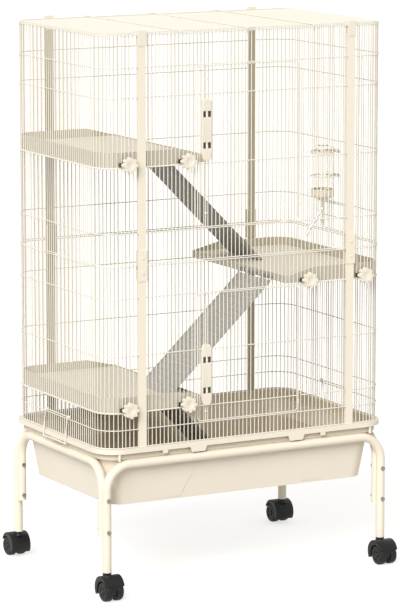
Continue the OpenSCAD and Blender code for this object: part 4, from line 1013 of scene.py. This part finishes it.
class CAGE_OT_fit_latches(bpy.types.Operator):
    """Makes the latch plates and coats the latch bars."""

    bl_idname = "cage.fit_latches"
    bl_label = "Fit the latches"

    def execute(self, context):
        paint = settings(context)[2]
        for door in ("upper", "lower"):
            plate, body = "latch_plate_" + door, "door_" + door
            cover = self.plate(plate)
            place_piece(cover, plate + "_cover", fitting_plastic(paint), body, "cream_plastic", plate)
            # dark boxes behind the windows as painted shade
            place_piece(self.shadow(plate), plate + "_recess_shade", black_coat_and_shade(paint), body, "black_metal")
            coat(wire_coat(paint), "latch_bar_%s_top" % door, "latch_bar_%s_bottom" % door)
        return {"FINISHED"}

    def plate(self, name):
        """A tapered plate with two finger windows, each between its first two ends."""
        rounding = 0.9 * MM
        low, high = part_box(name)
        middle = (low + high) / 2
        ends = PLATE_ENDS + [(high.z - low.z) / 2]
        rows = [-place for place in reversed(ends)] + ends
        widths = dict(zip(ends, PLATE_WIDTHS))
        across, along = len(PLATE_COLUMNS) - 1, len(rows) - 1
        mesh = bmesh.new()
        bmesh.ops.create_grid(mesh, x_segments=across, y_segments=along, size=1)
        for vert in mesh.verts:
            x = PLATE_COLUMNS[round((vert.co.x + 1) / 2 * across)]
            z = rows[round((vert.co.y + 1) / 2 * along)]
            vert.co = (middle.x + x * widths[abs(z)], high.y, middle.z + z)

        def in_window(face):
            spot = face.calc_center_median() - middle
            return abs(spot.x) < MM and ends[0] < abs(spot.z) < ends[1]

        bmesh.ops.delete(mesh, geom=[face for face in mesh.faces if in_window(face)], context="FACES")
        thicken(mesh, mesh.faces[:], -Y * (high.y - low.y))
        bmesh.ops.recalc_face_normals(mesh, faces=mesh.faces)
        soften(mesh, rounding)
        return mesh

    def shadow(self, name):
        """Dark boxes at the back of the windows, beside the tabs: painted shade in the windows."""
        aside, deep, window_z = 7.3 * MM, 2.2 * MM, 38 * MM
        size = Matrix.Diagonal((7.2 * MM, 0.6 * MM, 15.4 * MM, 1))
        low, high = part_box(name)
        middle = (low + high) / 2
        mesh = bmesh.new()
        for side in (-1, 1):
            for window in (-1, 1):
                centre = (middle.x + side * aside, low.y + deep, middle.z + window * window_z)
                bmesh.ops.create_cube(mesh, size=1, matrix=Matrix.Translation(centre) @ size)
        return mesh


class CAGE_OT_mould_shelves(bpy.types.Operator):
    """Gives the shelves, their knobs, bolts and hooks their finish."""

    bl_idname = "cage.mould_shelves"
    bl_label = "Mould the shelves"

    def execute(self, context):
        paint = settings(context)[2]
        shelves, sides = ("upper", "middle", "lower"), ("left", "right")
        coat(shelf_plastic(paint), *("shelf_" + shelf for shelf in shelves))
        coat(black_coat_and_shade(paint), "shelf_bolts", "shelf_hooks")
        coat(fitting_plastic(paint), *("knob_%s_%s" % (shelf, side) for shelf in shelves for side in sides))
        return {"FINISHED"}


class CAGE_OT_fit_ramps(bpy.types.Operator):
    """Gives the ramps their grey plastic and plates their pins."""

    bl_idname = "cage.fit_ramps"
    bl_label = "Fit the ramps"

    def execute(self, context):
        paint = settings(context)[2]
        coat(ramp_plastic(paint, 1), "ramp_upper", "ramp_lower")
        coat(ramp_plastic(paint, -1), "ramp_middle")
        coat(zinc_plate(paint), "ramp_pins")
        return {"FINISHED"}


class CAGE_OT_hang_bottle(bpy.types.Operator):
    """Gives the water bottle, its cap, spout and holder their finish."""

    bl_idname = "cage.hang_bottle"
    bl_label = "Hang the bottle"

    def execute(self, context):
        paint = settings(context)[2]
        coat(clear_plastic(), "bottle")
        coat(spout_steel(paint), "bottle_spout")
        coat(wire_coat(paint), "bottle_holder")
        mesh = self.collar()
        place_piece(mesh, "bottle_cap_collar", fitting_plastic(paint), "root", "cap_plastic", "bottle_cap")
        return {"FINISHED"}

    def collar(self):
        """The bottle's screw cap, from the spout's bore out to the ribbed wall round the bottle's end."""
        bore, nose, slope, ease, wall = 4.2 * MM, 9 * MM, 12 * MM, 2 * MM, 1.4 * MM
        ribs, rib, proud = 28, 1.6 * MM, 0.6 * MM
        low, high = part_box("bottle")
        middle = (low + high) / 2
        outer = (high.x - low.x) / 2 + proud
        place = Vector((middle.x, middle.y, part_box("bottle_cap")[0].z))
        shoulder = low.z - place.z
        foot, top = shoulder + 10 * MM, shoulder + 27 * MM
        mesh = bmesh.new()
        turned(mesh, place, [
            (bore, 0), (nose, 0), (slope, 3 * MM), (outer - ease, shoulder + 7 * MM), (outer, foot),
            (outer, top), (outer - wall, top), (outer - wall, foot), (bore, 4 * MM)
        ])
        for i in range(ribs):
            spot = place + Matrix.Rotation(i * math.tau / ribs, 3, Z) @ (X * outer)
            rod(mesh, spot + Z * (foot + 1 * MM), spot + Z * (top - 2 * MM), rib, 6)
        return mesh


# -------------------- stage


def seen_directly(tree):
    """1 where the eye, a reflection or clear plastic looks straight at a surface, otherwise 0."""
    rays = add(tree, "ShaderNodeLightPath")
    sight = maths(tree, "MAXIMUM", rays["Is Camera Ray"], rays["Is Glossy Ray"])
    return maths(tree, "MAXIMUM", sight, rays["Is Transmission Ray"])


def by_sight(tree, others, seen):
    """One shader for the light that a surface throws on others, and another for how it is seen."""
    return add(tree, "ShaderNodeMixShader", {0: seen_directly(tree), 1: others, 2: seen})[0]


class CAGE_OT_set_stage(bpy.types.Operator):
    """Sets the floor, the surroundings, the key light and the camera."""

    bl_idname = "cage.set_stage"
    bl_label = "Set the stage"

    def execute(self, context):
        stage = settings(context)[3]
        self.lay_floor(stage)
        self.light_surroundings(context, stage)
        self.hang_key_light(context, stage)
        self.stand_camera(context, stage)
        return {"FINISHED"}

    def lay_floor(self, stage):
        half_floor = 45
        mesh = bmesh.new()
        bmesh.ops.create_grid(mesh, x_segments=1, y_segments=1, size=half_floor)
        floor = new_object(mesh, "floor", self.floor_paint(stage))

    def floor_paint(self, stage):
        """White to the eye with the object's shadow on it, and a quiet floor that throws little light up."""
        material, tree = new_material("plain_floor")
        tree.nodes.remove(tree.nodes["Principled BSDF"])
        paint = add(tree, "ShaderNodeBsdfDiffuse", {"Color": (*stage.floor, 1)})[0]
        glow = add(tree, "ShaderNodeEmission", {"Strength": stage.glow})[0]
        lit = add(tree, "ShaderNodeAddShader", {0: paint, 1: glow})[0]
        feed(tree, tree.nodes["Material Output"], {"Surface": by_sight(tree, paint, lit)})
        return material

    def light_surroundings(self, context, stage):
        """White to the eye and in reflections, and a plain soft light on the object."""
        world = bpy.data.worlds.new("white_room")
        context.scene.world = world
        world.use_nodes = True
        tree = world.node_tree
        room = feed(tree, tree.nodes["Background"], {"Color": WHITE, "Strength": stage.sky})[0]
        backdrop = add(tree, "ShaderNodeBackground", {"Color": WHITE, "Strength": 1})[0]
        feed(tree, tree.nodes["World Output"], {"Surface": by_sight(tree, room, backdrop)})

    def hang_key_light(self, context, stage):
        lamp = bpy.data.lights.new("key_light", "SUN")
        lamp.energy = stage.key
        lamp.angle = stage.spread
        holder = bpy.data.objects.new("key_light", lamp)
        comes_from = Vector((-0.72, -0.66, 0.62))
        holder.rotation_euler = comes_from.to_track_quat("Z", "Y").to_euler()
        holder.location = comes_from * 4
        context.scene.collection.objects.link(holder)

    def stand_camera(self, context, stage):
        lens = bpy.data.cameras.new("camera")
        lens.sensor_fit = "VERTICAL"
        lens.sensor_height = 36
        lens.lens = stage.lens
        lens.clip_end = 200
        camera = bpy.data.objects.new("camera", lens)
        a, e = stage.azimuth, stage.elevation
        ahead = Vector((math.sin(a) * math.cos(e), math.cos(a) * math.cos(e), -math.sin(e)))
        camera.location = stage.eye
        camera.rotation_euler = ahead.to_track_quat("-Z", "Y").to_euler()
        context.scene.collection.objects.link(camera)
        context.scene.camera = camera
        context.scene.view_settings.view_transform = "Standard"


STEPS = [
    CAGE_OT_set_stage, CAGE_OT_coat_stand, CAGE_OT_fit_casters, CAGE_OT_mould_tray, CAGE_OT_coat_posts,
    CAGE_OT_weave_walls, CAGE_OT_lay_top, CAGE_OT_hang_doors, CAGE_OT_fit_latches, CAGE_OT_mould_shelves,
    CAGE_OT_fit_ramps, CAGE_OT_hang_bottle,
]


class CAGE_PT_looks(bpy.types.Panel):
    """The cage's sizes, colours and steps in the sidebar."""

    bl_label = "Cage looks"
    bl_space_type = "VIEW_3D"
    bl_region_type = "UI"
    bl_category = "Cage"

    def draw(self, context):
        layout = self.layout
        for name, group in SETTINGS.items():
            box = layout.box()
            for key in group.__annotations__:
                box.prop(getattr(context.scene, name), key)
        for step in STEPS:
            layout.operator(step.bl_idname)


def register():
    for name, group in SETTINGS.items():
        bpy.utils.register_class(group)
        setattr(bpy.types.Scene, name, bpy.props.PointerProperty(type=group))
    for step in STEPS:
        bpy.utils.register_class(step)
    bpy.utils.register_class(CAGE_PT_looks)


def unregister():
    bpy.utils.unregister_class(CAGE_PT_looks)
    for step in reversed(STEPS):
        bpy.utils.unregister_class(step)
    for name, group in SETTINGS.items():
        delattr(bpy.types.Scene, name)
        bpy.utils.unregister_class(group)


def main():
    register()
    for step in STEPS:
        getattr(bpy.ops.cage, step.bl_idname.split(".")[1])()


if __name__ == "__main__":
    main()
